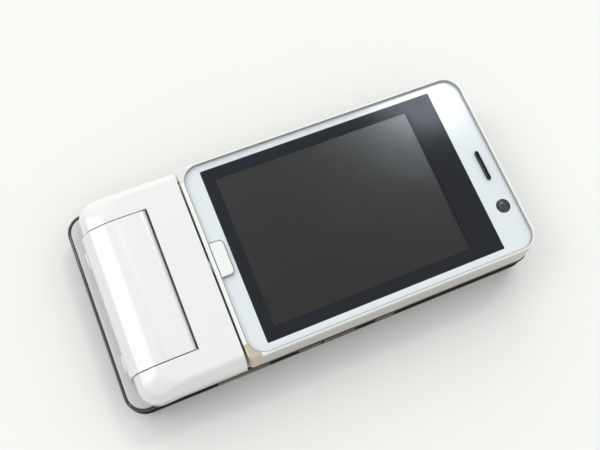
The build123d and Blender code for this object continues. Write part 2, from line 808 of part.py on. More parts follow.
hinge_screws = screw_group(hinge_screw_places, hinge_screw_z, screw_length)
finish(hinge_screws, "hinge_screws")

# Swivel bush, its bracket and the hollow shaft
bush_outer = shaft_radius + running_gap + swivel_bush_wall
bush_low_x = bridge_low_x + shaft_flange + 2 * slide_gap
bracket_low_x = bush_low_x + slide_gap

with BuildPart() as swivel_bush:
    extrude(disc((bush_low_x, 0, swivel_z), (1, 0, 0), bush_outer), amount=block_front_x - bush_low_x)
    extrude(disc((bush_low_x, 0, swivel_z), (1, 0, 0), shaft_radius + running_gap),
            amount=block_front_x - bush_low_x, mode=Mode.SUBTRACT)
finish(swivel_bush, "swivel_bush")

bracket_height = swivel_z + bush_outer + bracket_rim - hinge_part_z

with BuildPart() as hinge_bracket:
    extrude(area(hinge_part_z + seat_gap, bracket_low_x, bracket_low_x + bracket_thickness,
                 -bracket_half_width, bracket_half_width), amount=bracket_height)
    bracket_foot = area(hinge_part_z + seat_gap, bracket_low_x, bridge_high_x - seat_gap,
                        -bracket_half_width, bracket_half_width)
    foot_height = swivel_z - bush_outer - hinge_part_z - 2 * seat_gap
    extrude(bracket_foot, amount=foot_height)
    extrude(disc((bush_low_x, 0, swivel_z), (1, 0, 0), bush_outer + seat_gap),
            amount=block_front_x - bush_low_x, mode=Mode.SUBTRACT)
finish(hinge_bracket, "hinge_bracket")

shaft_low_x = bridge_low_x + slide_gap
shaft_high_x = lid_back_x + lid_wall + seat_gap + shaft_flange

with BuildPart() as swivel_shaft:
    extrude(disc((shaft_low_x, 0, swivel_z), (1, 0, 0), shaft_radius), amount=shaft_high_x - shaft_low_x)
    extrude(disc((shaft_low_x, 0, swivel_z), (1, 0, 0), shaft_flange_radius), amount=shaft_flange)
    extrude(disc((shaft_high_x, 0, swivel_z), (-1, 0, 0), shaft_flange_radius), amount=shaft_flange)
    extrude(disc((shaft_low_x, 0, swivel_z), (1, 0, 0), shaft_bore), amount=shaft_high_x - shaft_low_x,
            mode=Mode.SUBTRACT)
finish(swivel_shaft, "swivel_shaft")

# Display half: screw places beside the display unit
display_screw_y = lid_half - lid_wall - boss_radius
display_screw_back = gap_x + lcd_start - boss_radius - lcd_side_gap
display_screw_end = gap_x + lcd_end + boss_radius + lcd_side_gap
display_screw_places = [
    (x, side * display_screw_y) for x in (display_screw_back, display_screw_end) for side in (-1, 1)
]
display_screw_z = lid_low_z + screw_sink
display_screw_top = display_screw_z + screw_head + screw_length + seat_gap


def lid_cavity(z, inset):
    """Inside outline of the display half, drawn in at its sides and far end."""
    return plan(
        z,
        lid_back_x + lid_wall,
        end_x - lid_end_inset - lid_wall - inset,
        lid_half - lid_top_inset - lid_wall + lid_rim_round - inset,
        lid_back_corner,
        lid_end_corner - lid_wall,
    )


def shaft_way():
    """Hole for the swivel shaft through the back wall of the display half."""
    with BuildPart() as piece:
        extrude(disc((lid_back_x - overrun, 0, swivel_z), (1, 0, 0), shaft_radius + seat_gap),
                amount=lid_wall + 2 * overrun)
    return piece.part


def lid_frame():
    """Frame of the display half with drafted sides, before its corner caps are parted off."""
    with BuildPart() as body:
        low = plan(lid_split_z, lid_back_x, end_x, lid_half, lid_back_corner, lid_end_corner)
        high = plan(overall_height, lid_back_x, end_x - lid_end_inset, lid_half - lid_top_inset,
                    lid_back_corner, lid_end_corner - lid_end_inset)
        loft([low.face(), high.face()])
        fillet(body.faces().sort_by(Axis.Z)[-1].edges(), lid_rim_round)
        extrude(panel_plan(print_low_z - seat_gap, -panel_groove), amount=overall_height, mode=Mode.SUBTRACT)
        extrude(lid_cavity(lid_split_z, 0), amount=ledge_low_z - lid_split_z, mode=Mode.SUBTRACT)
        lcd_way = pad(ledge_low_z, gap_x + (lcd_start + lcd_end) / 2, 0, lcd_end - lcd_start + 2 * lcd_side_gap,
                      2 * (lcd_half_width + lcd_side_gap), lcd_corner)
        extrude(lcd_way, amount=overall_height, mode=Mode.SUBTRACT)
        extrude(pad(ledge_low_z, gap_x + ear_reach, ear_y, ear_width + 2 * seat_gap, ear_length + 2 * seat_gap,
                    board_corner), amount=overall_height, mode=Mode.SUBTRACT)
        extrude(disc((gap_x + front_camera_reach, front_camera_y, ledge_low_z), (0, 0, 1),
                     front_camera_body + seat_gap), amount=overall_height, mode=Mode.SUBTRACT)
        extrude(tab_plan(overall_height - tab_depth, seat_gap), amount=overall_height, mode=Mode.SUBTRACT)
        add(shaft_way(), mode=Mode.SUBTRACT)
        for x, y in display_screw_places:
            extrude(disc((x, y, lid_split_z), (0, 0, 1), boss_radius), amount=ledge_low_z - lid_split_z)
            add(screw_seat(x, y, display_screw_z, display_screw_top), mode=Mode.SUBTRACT)
    return body.part


def cap_corner(side):
    """Plan of the corner that a corner cap takes from the frame."""
    return area(lid_split_z, lid_back_x - overrun, gap_x + cap_reach,
                min(side * cap_half_inner, side * overall_width), max(side * cap_half_inner, side * overall_width))


with BuildPart() as display_frame:
    add(lid_frame())
    for side in (-1, 1):
        extrude(cap_corner(side), amount=overall_height, mode=Mode.SUBTRACT)
finish(display_frame, "display_frame")

with BuildPart() as corner_caps:
    for side in (-1, 1):
        extrude(cap_corner(side), amount=overall_height)
    add(lid_frame(), mode=Mode.INTERSECT)
finish(corner_caps, "corner_caps")

with BuildPart() as display_rear_case:
    extrude(plan(lid_low_z, lid_back_x, end_x, lid_half, lid_back_corner, lid_end_corner),
            amount=lid_split_z - lid_low_z)
    low_edges = display_rear_case.faces().sort_by(Axis.Z)[0].edges()
    fillet(low_edges.sort_by(Axis.X)[1:], lid_foot_round)
    extrude(lid_cavity(lid_low_z + lid_floor, lid_foot_round - lid_floor), amount=overall_height,
            mode=Mode.SUBTRACT)
    add(shaft_way(), mode=Mode.SUBTRACT)
    for x, y in display_screw_places:
        extrude(disc((x, y, lid_low_z + lid_floor), (0, 0, 1), boss_radius),
                amount=lid_split_z - lid_low_z - lid_floor)
        add(screw_seat(x, y, display_screw_z, display_screw_top), mode=Mode.SUBTRACT)
finish(display_rear_case, "display_rear_case")

display_screws = screw_group(display_screw_places, display_screw_z, screw_length)
finish(display_screws, "display_screws")

# Clear front panel, its white print and the black window mask
with BuildPart() as front_panel:
    extrude(panel_plan(panel_low_z, 0), amount=panel_thickness)
    fillet(front_panel.faces().sort_by(Axis.Z)[-1].edges(), panel_round)
    extrude(tab_plan(panel_low_z, tab_groove), amount=panel_thickness, mode=Mode.SUBTRACT)
    extrude(slot(overall_height - ear_dish_depth, gap_x + ear_reach, ear_y, ear_dish, ear_dish_width),
            amount=panel_thickness, mode=Mode.SUBTRACT)
    extrude(slot(panel_low_z, gap_x + ear_reach, ear_y, ear_slot, ear_slot_width),
            amount=panel_thickness, mode=Mode.SUBTRACT)
finish(front_panel, "front_panel")


def window_plan(z):
    """Outline of the black window."""
    return pad(z, gap_x + (window_start + window_end) / 2, 0, window_end - window_start,
               2 * window_half_width, window_corner)


with BuildPart() as panel_print:
    extrude(panel_plan(print_low_z, 0), amount=print_thickness)
    extrude(tab_plan(print_low_z, tab_groove), amount=print_thickness, mode=Mode.SUBTRACT)
    extrude(window_plan(print_low_z), amount=print_thickness, mode=Mode.SUBTRACT)
    extrude(slot(print_low_z, gap_x + ear_reach, ear_y, ear_slot, ear_slot_width), amount=print_thickness,
            mode=Mode.SUBTRACT)
    extrude(disc((gap_x + front_camera_reach, front_camera_y, print_low_z), (0, 0, 1),
                 front_camera_radius + seat_gap), amount=print_thickness, mode=Mode.SUBTRACT)
finish(panel_print, "panel_print")

with BuildPart() as window_mask:
    extrude(window_plan(print_low_z), amount=print_thickness)
    extrude(area(print_low_z, gap_x + screen_start, gap_x + screen_end, -screen_half_width, screen_half_width),
            amount=print_thickness, mode=Mode.SUBTRACT)
finish(window_mask, "window_mask")

# Display unit and its board
lcd_top_z = print_low_z - seat_gap
lcd_low_z = lcd_top_z - lcd_thickness
lcd_x = gap_x + (lcd_start + lcd_end) / 2

with BuildPart() as lcd_module:
    extrude(pad(lcd_low_z, lcd_x, 0, lcd_end - lcd_start, 2 * lcd_half_width, lcd_corner), amount=lcd_thickness)
finish(lcd_module, "lcd_module")

with BuildPart() as display_board:
    extrude(pad(lcd_low_z - display_board_gap - display_board_thickness, lcd_x, 0,
                lcd_end - lcd_start - 2 * display_board_margin, 2 * (lcd_half_width - display_board_margin),
                board_corner), amount=display_board_thickness)
finish(display_board, "display_board")

# Earpiece, front camera and the tab
with BuildPart() as earpiece:
    extrude(pad(lcd_top_z - ear_height, gap_x + ear_reach, ear_y, ear_width, ear_length, board_corner),
            amount=ear_height)
    fillet(earpiece.faces().sort_by(Axis.Z)[0].edges(), unit_round)
finish(earpiece, "earpiece")

with BuildPart() as sub_camera:
    lens_origin = (gap_x + front_camera_reach, front_camera_y, lcd_top_z - front_camera_height)
    extrude(disc(lens_origin, (0, 0, 1), front_camera_body), amount=front_camera_height)
    extrude(disc(lens_origin, (0, 0, 1), front_camera_radius),
            amount=front_camera_height + print_thickness)
finish(sub_camera, "sub_camera")

with BuildPart() as shaft_cover:
    extrude(tab_plan(overall_height - tab_depth + seat_gap, 0), amount=tab_depth - seat_gap)
    fillet(shaft_cover.faces().sort_by(Axis.Z)[-1].edges(), tab_round)
finish(shaft_cover, "shaft_cover")
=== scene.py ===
"""Looks of a folding phone whose display turns outwards.

Finishes for the CAD nodes, smooth shells for the hinge block and its knuckle, rims, lenses, trim and
marks on the keys, and the floor, the light and the camera. Sizes and places are in millimetres.
"""

import json
import math

import bmesh
import bpy
import numpy as np
from mathutils import Matrix, Vector

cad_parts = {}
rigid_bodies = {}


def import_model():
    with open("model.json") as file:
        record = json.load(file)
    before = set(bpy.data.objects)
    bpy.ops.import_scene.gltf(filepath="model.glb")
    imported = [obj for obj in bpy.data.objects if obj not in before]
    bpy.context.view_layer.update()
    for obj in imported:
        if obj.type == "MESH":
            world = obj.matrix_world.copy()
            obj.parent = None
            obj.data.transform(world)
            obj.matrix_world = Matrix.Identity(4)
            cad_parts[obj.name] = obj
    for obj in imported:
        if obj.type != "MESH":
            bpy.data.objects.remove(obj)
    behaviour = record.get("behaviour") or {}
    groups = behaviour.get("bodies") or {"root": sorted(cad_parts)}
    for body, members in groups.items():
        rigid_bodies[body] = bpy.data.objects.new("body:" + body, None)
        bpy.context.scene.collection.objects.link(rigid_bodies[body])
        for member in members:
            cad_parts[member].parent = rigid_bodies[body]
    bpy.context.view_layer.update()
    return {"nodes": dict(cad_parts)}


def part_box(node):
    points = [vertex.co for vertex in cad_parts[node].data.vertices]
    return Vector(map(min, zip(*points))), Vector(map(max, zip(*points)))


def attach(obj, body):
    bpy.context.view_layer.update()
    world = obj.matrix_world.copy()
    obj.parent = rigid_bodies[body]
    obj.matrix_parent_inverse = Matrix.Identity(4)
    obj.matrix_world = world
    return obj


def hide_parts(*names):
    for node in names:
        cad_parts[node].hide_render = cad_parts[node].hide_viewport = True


for leftover in list(bpy.data.objects):
    bpy.data.objects.remove(leftover)

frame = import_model()
nodes = frame["nodes"]

MM = 0.001


# Meshes from whole arrays

SHARP_ANGLE = math.radians(32)
BEVEL_ANGLE = math.radians(50)
SHORTEST_EDGE = 1e-9
SPIKE_LIMIT = 0.4


def node_box(name):
    """The lowest and the highest corner of a CAD node's box."""
    return tuple(np.array(v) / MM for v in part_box(name))


def top_middle(name):
    """The middle of the top face of a CAD node's box."""
    low, high = node_box(name)
    return (low[0] + high[0]) / 2, (low[1] + high[1]) / 2, high[2]


def show_mesh(name, mesh, finish):
    """A mesh as an object at the origin, with one finish."""
    mesh.materials.clear()
    mesh.materials.append(finishes[finish])
    piece = bpy.data.objects.new(name, mesh)
    bpy.context.scene.collection.objects.link(piece)
    return piece


def lay_mesh(name, points, faces, body, finish, slot, smooth=True, sharp=SHARP_ANGLE):
    """A piece from an n by 3 array of points and a list of faces, turned outwards and riding on a body."""
    mesh = bpy.data.meshes.new(name)
    mesh.from_pydata((np.asarray(points, float) * MM).tolist(), [], faces)
    mesh.validate()
    shape = bmesh.new()
    shape.from_mesh(mesh)
    bmesh.ops.recalc_face_normals(shape, faces=shape.faces)
    shape.to_mesh(mesh)
    shape.free()
    mesh.update()
    if smooth:
        mesh.shade_smooth()
        mesh.set_sharp_from_angle(angle=sharp)
    piece = show_mesh(name, mesh, finish)
    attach(piece, body)
    return piece


def soften(piece, width, steps=3):
    """Rounds the piece's sharp edges by a small width."""
    bevel = piece.modifiers.new("edges", "BEVEL")
    bevel.width = width * MM
    bevel.segments = steps
    bevel.limit_method = "ANGLE"
    bevel.angle_limit = BEVEL_ANGLE


def grid_faces(rows, columns, close_rows=False, close_columns=False):
    """Quads of a grid, each (i, j), (i, j+1), (i+1, j+1), (i+1, j), wrapped where a way is closed."""
    i = np.arange(rows if close_rows else rows - 1)
    j = np.arange(columns if close_columns else columns - 1)
    i, j = np.meshgrid(i, j, indexing="ij")
    i2, j2 = (i + 1) % rows, (j + 1) % columns
    quads = np.stack([i * columns + j, i * columns + j2, i2 * columns + j2, i2 * columns + j], axis=-1)
    return quads.reshape(-1, 4).tolist()


def stack_loops(loops):
    """Outlines of equal count, each with its height, joined row to row and closed at both ends."""
    count = len(loops[0][0])
    points = np.concatenate([np.column_stack([xy, np.full(count, z)]) for xy, z in loops])
    faces = grid_faces(len(loops), count, close_columns=True)
    top = list(range((len(loops) - 1) * count, len(loops) * count))
    bottom = list(range(count))[::-1]
    return points, faces + [top, bottom]


def rounded_outline(low_x, high_x, half, low_corner, high_corner, steps=14):
    """Closed outline, anticlockwise from the corner at high x and high y.

    Each of its four corners is a quarter circle, centre plus radius times (cos t, sin t), and straights
    join them."""
    t = np.linspace(0, math.pi / 2, steps)
    arcs = []
    for x, y, r, turn in ((high_x, half, high_corner, 0), (low_x, half, low_corner, 1),
                          (low_x, -half, low_corner, 2), (high_x, -half, high_corner, 3)):
        sx, sy = np.sign(x - (low_x + high_x) / 2), np.sign(y)
        a = t + turn * math.pi / 2
        arcs.append(np.stack([x - sx * r + r * np.cos(a), y - sy * r + r * np.sin(a)], axis=1))
    return np.concatenate(arcs)


def circle(x, y, radius, steps=48):
    """Closed circle, anticlockwise: centre plus radius times (cos t, sin t)."""
    t = np.linspace(0, 2 * math.pi, steps, endpoint=False)
    return np.column_stack([x + radius * np.cos(t), y + radius * np.sin(t)])


def stadium(x, y, length, width, steps=15):
    """Closed slot outline along Y, anticlockwise: two half circles joined by straights."""
    t = np.linspace(0, math.pi, steps)
    r, run = width / 2, (length - width) / 2
    high = np.column_stack([x + r * np.cos(t), y + run + r * np.sin(t)])
    low = np.column_stack([x - r * np.cos(t), y - run - r * np.sin(t)])
    return np.concatenate([high, low])


def inset_loop(loop, inset):
    """Each point moved inwards by inset along the bisector of its corner.

    With n1 and n2 the unit normals of the edges before and after a point, the move is inset times
    2 (n1 + n2) / |n1 + n2|^2, which keeps the true distance from both edges. The divisor has a least
    value, so that a sharp corner grows no spike."""
    def inward(edges):
        normals = np.column_stack([-edges[:, 1], edges[:, 0]])
        return normals / np.maximum(np.linalg.norm(normals, axis=1, keepdims=True), SHORTEST_EDGE)

    both = inward(loop - np.roll(loop, 1, axis=0)) + inward(np.roll(loop, -1, axis=0) - loop)
    scale = 2 / np.maximum((both ** 2).sum(axis=1, keepdims=True), SPIKE_LIMIT)
    return loop + inset * both * scale


def profile_rings(loop, profile, level):
    """One row of points round an outline for each (inset, height) of a profile, at height plus level."""
    return [np.column_stack([inset_loop(loop, inset), np.full(len(loop), level + height)])
            for inset, height in profile]


def carry_round(loop, profile, level):
    """A profile of (inset, height) points carried round a closed outline, closed along both ways."""
    points = np.concatenate(profile_rings(loop, profile, level))
    return points, grid_faces(len(profile), len(loop), close_rows=True, close_columns=True)


def carry_along(path, profile, level):
    """A profile carried along an open path and closed at its ends; the path's end points only lead in."""
    points = np.concatenate([ring[1:-1] for ring in profile_rings(path, profile, level)])
    columns = len(path) - 2
    ends = [[row * columns + k for row in range(len(profile))] for k in (0, columns - 1)]
    return points, grid_faces(len(profile), columns, close_rows=True) + ends


def half_round(width, foot, rise, steps=9):
    """Profile of half an ellipse over a width, from its outer foot to its inner one."""
    t = np.linspace(0, math.pi, steps)
    return list(zip(width / 2 - width / 2 * np.cos(t), foot + rise * np.sin(t)))


def bars(bounds):
    """Straight bars from rows of (x0, x1, y0, y1, z0, z1): eight corners and six faces each."""
    bounds = np.asarray(bounds, float)
    corner = np.array([(0, 2, 4), (1, 2, 4), (1, 3, 4), (0, 3, 4),
                       (0, 2, 5), (1, 2, 5), (1, 3, 5), (0, 3, 5)])
    side = np.array([(3, 2, 1, 0), (4, 5, 6, 7), (0, 1, 5, 4),
                     (1, 2, 6, 5), (2, 3, 7, 6), (3, 0, 4, 7)])
    faces = np.arange(len(bounds))[:, None, None] * len(corner) + side
    return bounds[:, corner].reshape(-1, 3), faces.reshape(-1, 4).tolist()


def pebble(centre, reach, power=0.55, near_pole=0.49 * math.pi, rows=11, steps=36):
    """A superellipsoid, closed by small flats just short of its poles.

    It is centre plus reach times (c(v) c(u), c(v) s(u), s(v)), where c and s are the cosine and the sine
    raised to a power with their sign kept."""
    def shaped(values):
        return np.sign(values) * np.abs(values) ** power

    v = np.linspace(-near_pole, near_pole, rows)
    u = np.linspace(0, 2 * math.pi, steps, endpoint=False)
    ring = np.column_stack([reach[0] * shaped(np.cos(u)), reach[1] * shaped(np.sin(u))])
    wide, high = shaped(np.cos(v)), shaped(np.sin(v))
    return stack_loops([(ring * w + centre[:2], centre[2] + reach[2] * h) for w, h in zip(wide, high)])


def join_shapes(shapes):
    """Several (points, faces) shapes as one, with each shape's faces moved on by the points before it."""
    points, faces = zip(*shapes)
    starts = np.cumsum([0] + [len(those) for those in points[:-1]]).tolist()
    moved = [[start + k for k in face] for start, those in zip(starts, faces) for face in those]
    return np.concatenate(points), moved


# Shader groups shared by the finishes

SOCKETS = {"value": "NodeSocketFloat", "colour": "NodeSocketColor"}
COARSE_SCALE, FINE_SHARE = 0.2, 0.6
SMUDGE_DETAIL, SMUDGE_ROUGHNESS = 6.0, 0.62
SMUDGE_FROM, SMUDGE_TO = 0.3, 0.7
DRIFT_DETAIL, NOISE_MIDDLE = 3.0, 0.5
LINE_SQUEEZE = (0.02, 1.0, 1.0)


def new_group(name, inputs, output):
    """An empty shader group with inputs as (label, kind, value) and one output as (label, kind)."""
    group = bpy.data.node_groups.new(name, "ShaderNodeTree")
    for label, kind, value in inputs:
        made = group.interface.new_socket(label, in_out="INPUT", socket_type=SOCKETS[kind])
        made.default_value = value
    label, kind = output
    group.interface.new_socket(label, in_out="OUTPUT", socket_type=SOCKETS[kind])
    return group, group.nodes.new("NodeGroupInput"), group.nodes.new("NodeGroupOutput")


def object_place(tree):
    """The socket of the Object coordinates."""
    return tree.nodes.new("ShaderNodeTexCoord").outputs["Object"]


def add_math(tree, operation, constants):
    """A math node with constants on some of its inputs, given as {input: value}."""
    node = tree.nodes.new("ShaderNodeMath")
    node.operation = operation
    for index, value in constants.items():
        node.inputs[index].default_value = value
    return node


def add_noise(tree, place, scale, detail=2.0, roughness=0.5):
    """The value of a noise whose place and scale come from two sockets."""
    noise = tree.nodes.new("ShaderNodeTexNoise")
    noise.inputs["Detail"].default_value = detail
    noise.inputs["Roughness"].default_value = roughness
    tree.links.new(place, noise.inputs["Vector"])
    tree.links.new(scale, noise.inputs["Scale"])
    return noise.outputs["Fac"]


def make_grain():
    """Moulded grain: a share of a fine noise plus a coarse noise at a fifth of the scale, as a height."""
    group, into, out = new_group("moulded_grain", [("Scale", "value", 4000.0)], ("Height", "value"))
    link, place = group.links.new, object_place(group)
    coarse = add_math(group, "MULTIPLY", {1: COARSE_SCALE})
    both = add_math(group, "MULTIPLY_ADD", {1: FINE_SHARE})
    link(into.outputs["Scale"], coarse.inputs[0])
    link(add_noise(group, place, into.outputs["Scale"]), both.inputs[0])
    link(add_noise(group, place, coarse.outputs[0]), both.inputs[2])
    link(both.outputs[0], out.inputs["Height"])
    return group


def make_handling():
    """Handling marks: a soft noise spread between two roughness values, so that gloss changes."""
    inputs = [("Scale", "value", 60.0), ("Low", "value", 0.1), ("High", "value", 0.2)]
    group, into, out = new_group("handling_marks", inputs, ("Roughness", "value"))
    link, place = group.links.new, object_place(group)
    spread = group.nodes.new("ShaderNodeMapRange")
    spread.inputs["From Min"].default_value = SMUDGE_FROM
    spread.inputs["From Max"].default_value = SMUDGE_TO
    noise = add_noise(group, place, into.outputs["Scale"], SMUDGE_DETAIL, SMUDGE_ROUGHNESS)
    link(noise, spread.inputs["Value"])
    link(into.outputs["Low"], spread.inputs["To Min"])
    link(into.outputs["High"], spread.inputs["To Max"])
    link(spread.outputs["Result"], out.inputs["Roughness"])
    return group


def make_tone():
    """Tone drift: the colour times one plus an amount of a wide noise about its middle."""
    inputs = [("Colour", "colour", (0.8, 0.8, 0.8, 1.0)), ("Scale", "value", 40.0),
              ("Amount", "value", 0.04)]
    group, into, out = new_group("tone_drift", inputs, ("Colour", "colour"))
    link, place = group.links.new, object_place(group)
    centred = add_math(group, "SUBTRACT", {1: NOISE_MIDDLE})
    value = add_math(group, "MULTIPLY_ADD", {2: 1.0})
    tint = group.nodes.new("ShaderNodeHueSaturation")
    link(add_noise(group, place, into.outputs["Scale"], DRIFT_DETAIL), centred.inputs[0])
    link(centred.outputs[0], value.inputs[0])
    link(into.outputs["Amount"], value.inputs[1])
    link(value.outputs[0], tint.inputs["Value"])
    link(into.outputs["Colour"], tint.inputs["Color"])
    link(tint.outputs["Color"], out.inputs["Colour"])
    return group


def make_brushed():
    """Drawn lines: a noise on Object coordinates squeezed along X, so its features run lengthwise."""
    group, into, out = new_group("drawn_lines", [("Scale", "value", 5000.0)], ("Height", "value"))
    squeeze = group.nodes.new("ShaderNodeMapping")
    squeeze.inputs["Scale"].default_value = LINE_SQUEEZE
    group.links.new(object_place(group), squeeze.inputs["Vector"])
    noise = add_noise(group, squeeze.outputs["Vector"], into.outputs["Scale"])
    group.links.new(noise, out.inputs["Height"])
    return group


grain, handling, tone, brushed = make_grain(), make_handling(), make_tone(), make_brushed()


# Finishes

COAT_ROUGHNESS = 0.03
GRAIN_SCALE, BUMP_DISTANCE = 3500.0, 0.02
CLEAR_DRIFT, CLEAR_DRIFT_SCALE = 0.01, 30.0
CLEAR_GLOSS, CLEAR_SMUDGE_SCALE = (0.0, 0.03), 90.0


def place_group(material, group, **values):
    """The group as a node in a material, with its own input values."""
    node = material.node_tree.nodes.new("ShaderNodeGroup")
    node.node_tree = group
    for label, value in values.items():
        node.inputs[label].default_value = value
    return node


def new_finish(name, colour, low, high, metallic=0.0, coat=0.0, ior=1.5, drift=0.03, drift_scale=45.0,
               grain_depth=0.0, lines=0.0, smudge_scale=70.0, mirror=(1.0, 1.0, 1.0)):
    """A moulded, painted or metal finish: drifting colour, handled gloss, grain or drawn lines as bump."""
    material = bpy.data.materials.new(name)
    material.use_nodes = True
    tree = material.node_tree
    shader = tree.nodes["Principled BSDF"]
    shader.inputs["Metallic"].default_value = metallic
    shader.inputs["Coat Weight"].default_value = coat
    shader.inputs["Coat Roughness"].default_value = COAT_ROUGHNESS
    shader.inputs["IOR"].default_value = ior
    shader.inputs["Specular Tint"].default_value = (*mirror, 1.0)
    tint = place_group(material, tone, Colour=(*colour, 1.0), Scale=drift_scale, Amount=drift)
    tree.links.new(tint.outputs["Colour"], shader.inputs["Base Color"])
    gloss = place_group(material, handling, Scale=smudge_scale, Low=low, High=high)
    tree.links.new(gloss.outputs["Roughness"], shader.inputs["Roughness"])
    if grain_depth or lines:
        height = place_group(material, brushed if lines else grain, Scale=GRAIN_SCALE)
        bump = tree.nodes.new("ShaderNodeBump")
        bump.inputs["Strength"].default_value = lines or grain_depth
        bump.inputs["Distance"].default_value = BUMP_DISTANCE * MM
        tree.links.new(height.outputs["Height"], bump.inputs["Height"])
        tree.links.new(bump.outputs["Normal"], shader.inputs["Normal"])
    return material


def clear_finish(name, colour, ior):
    """Clear plastic or glass. Light that only passes through goes straight on and lights what is under it."""
    material = bpy.data.materials.new(name)
    material.use_nodes = True
    tree = material.node_tree
    shader, out = tree.nodes["Principled BSDF"], tree.nodes["Material Output"]
    shader.inputs["Transmission Weight"].default_value = 1.0
    shader.inputs["IOR"].default_value = ior
    tint = place_group(material, tone, Colour=(*colour, 1.0), Scale=CLEAR_DRIFT_SCALE, Amount=CLEAR_DRIFT)
    low, high = CLEAR_GLOSS
    gloss = place_group(material, handling, Scale=CLEAR_SMUDGE_SCALE, Low=low, High=high)
    through = tree.nodes.new("ShaderNodeBsdfTransparent")
    through.inputs["Color"].default_value = (*colour, 1.0)
    path = tree.nodes.new("ShaderNodeLightPath")
    side = tree.nodes.new("ShaderNodeNewGeometry")
    passing, straight = add_math(tree, "MAXIMUM", {}), add_math(tree, "MAXIMUM", {})
    mix = tree.nodes.new("ShaderNodeMixShader")
    link = tree.links.new
    link(tint.outputs["Colour"], shader.inputs["Base Color"])
    link(gloss.outputs["Roughness"], shader.inputs["Roughness"])
    link(path.outputs["Is Shadow Ray"], passing.inputs[0])
    link(path.outputs["Is Diffuse Ray"], passing.inputs[1])
    link(passing.outputs[0], straight.inputs[0])
    link(side.outputs["Backfacing"], straight.inputs[1])
    link(straight.outputs[0], mix.inputs["Fac"])
    link(shader.outputs["BSDF"], mix.inputs[1])
    link(through.outputs["BSDF"], mix.inputs[2])
    link(mix.outputs["Shader"], out.inputs["Surface"])
    return material


EVEN_DRIFT = dict(drift=0.02, drift_scale=14.0)
EVEN_PAINT = dict(**EVEN_DRIFT, smudge_scale=25.0)
PRINT_INK = dict(low=0.35, high=0.50, drift=0.05)
FINISHES = {
    "pearl_white": dict(colour=(0.835, 0.85, 0.84), low=0.22, high=0.28, coat=0.8, **EVEN_PAINT),
    "white_print": dict(colour=(0.800, 0.824, 0.845), low=0.08, high=0.12, ior=1.45, drift=0.02,
                        drift_scale=20.0),
    # silver_side: the display frame's colour darkened on its sides as painted shade; the frame turns white on
    # its top and hinge edge.
    "silver_side": dict(colour=(0.505, 0.465, 0.43), low=0.26, high=0.32, coat=0.4, **EVEN_PAINT),
    "silver_back": dict(colour=(0.68, 0.69, 0.69), low=0.24, high=0.34, coat=0.5, **EVEN_PAINT),
    "champagne": dict(colour=(0.63, 0.565, 0.45), low=0.14, high=0.22, metallic=0.7, drift=0.02),
    "dark_gloss": dict(colour=(0.012, 0.011, 0.010), low=0.46, high=0.58, ior=1.02, drift=0.08,
                       grain_depth=0.1),
    "rear_gloss": dict(colour=(0.020, 0.019, 0.019), low=0.20, high=0.32, ior=1.35, coat=0.15, drift=0.08,
                       grain_depth=0.1),
    "bright_trim": dict(colour=(0.10, 0.095, 0.09), low=0.20, high=0.30, metallic=1.0, lines=0.15),
    "black_print": dict(colour=(0.020, 0.0205, 0.025), low=0.08, high=0.11, ior=1.22,
                        mirror=(0.80, 0.88, 1.0)),
    "dark_screen": dict(colour=(0.0080, 0.0070, 0.003), low=0.14, high=0.18, ior=1.49, drift=0.05,
                        mirror=(0.88, 0.91, 1.0)),
    "key_white": dict(colour=(0.78, 0.80, 0.80), low=0.18, high=0.28, coat=0.5, grain_depth=0.1),
    "key_silver": dict(colour=(0.20, 0.145, 0.115), low=0.30, high=0.42, metallic=0.4, ior=1.2, lines=0.15),
    "steel": dict(colour=(0.52, 0.52, 0.53), low=0.26, high=0.40, metallic=1.0, lines=0.35),
    "screw_steel": dict(colour=(0.20, 0.20, 0.21), low=0.26, high=0.36, metallic=1.0, lines=0.2),
    "bush_brass": dict(colour=(0.62, 0.45, 0.18), low=0.20, high=0.32, metallic=1.0, lines=0.3),
    "board_green": dict(colour=(0.010, 0.075, 0.026), low=0.28, high=0.42, coat=0.3, grain_depth=0.3),
    "battery_film": dict(colour=(0.040, 0.043, 0.055), low=0.34, high=0.46, grain_depth=0.2),
    "mat_rubber": dict(colour=(0.075, 0.078, 0.088), low=0.6, high=0.75, grain_depth=0.5),
    "lens_black": dict(colour=(0.006, 0.006, 0.007), low=0.10, high=0.20, coat=0.4),
    "tab_white": dict(colour=(0.86, 0.90, 0.885), low=0.24, high=0.30, coat=0.8, drift=0.015),
    "rim_gloss": dict(colour=(0.020, 0.019, 0.019), low=0.05, high=0.10, coat=1.0, drift=0.06),
    "gasket_grey": dict(colour=(0.27, 0.275, 0.28), low=0.50, high=0.65, grain_depth=0.3),
    "mark_grey": dict(colour=(0.070, 0.075, 0.085), **PRINT_INK),
    "mark_green": dict(colour=(0.030, 0.250, 0.075), **PRINT_INK),
    "mark_red": dict(colour=(0.420, 0.030, 0.030), **PRINT_INK),
    "side_brown": dict(colour=(0.095, 0.070, 0.056), low=0.34, high=0.46, ior=1.15, lines=0.12),
    # deck_painted_shade: the deck's pearl white greyed as painted shade on the ledge beside the hinge block.
    "deck_painted_shade": dict(colour=(0.62, 0.635, 0.63), low=0.26, high=0.34, coat=0.5, **EVEN_DRIFT),
    # rim_white: a bright white for the frame's rim, where it is partly painted highlight along the edge; for
    # the knuckle stops, where its extra brightness is partly painted highlight; and for the pad's arrows,
    # which are print.
    "rim_white": dict(colour=(0.90, 0.905, 0.89), low=0.20, high=0.26, coat=0.6, drift=0.01),
    "lens_grey": dict(colour=(0.022, 0.024, 0.028), low=0.10, high=0.18, coat=0.5, drift=0.06),
    "unit_black": dict(colour=(0.010, 0.010, 0.010), low=0.42, high=0.58, grain_depth=0.5),
    "floor_paper": dict(colour=(0.925, 0.935, 0.92), low=0.7, high=0.85, drift=0.02, drift_scale=3.0,
                        grain_depth=0.1),
}
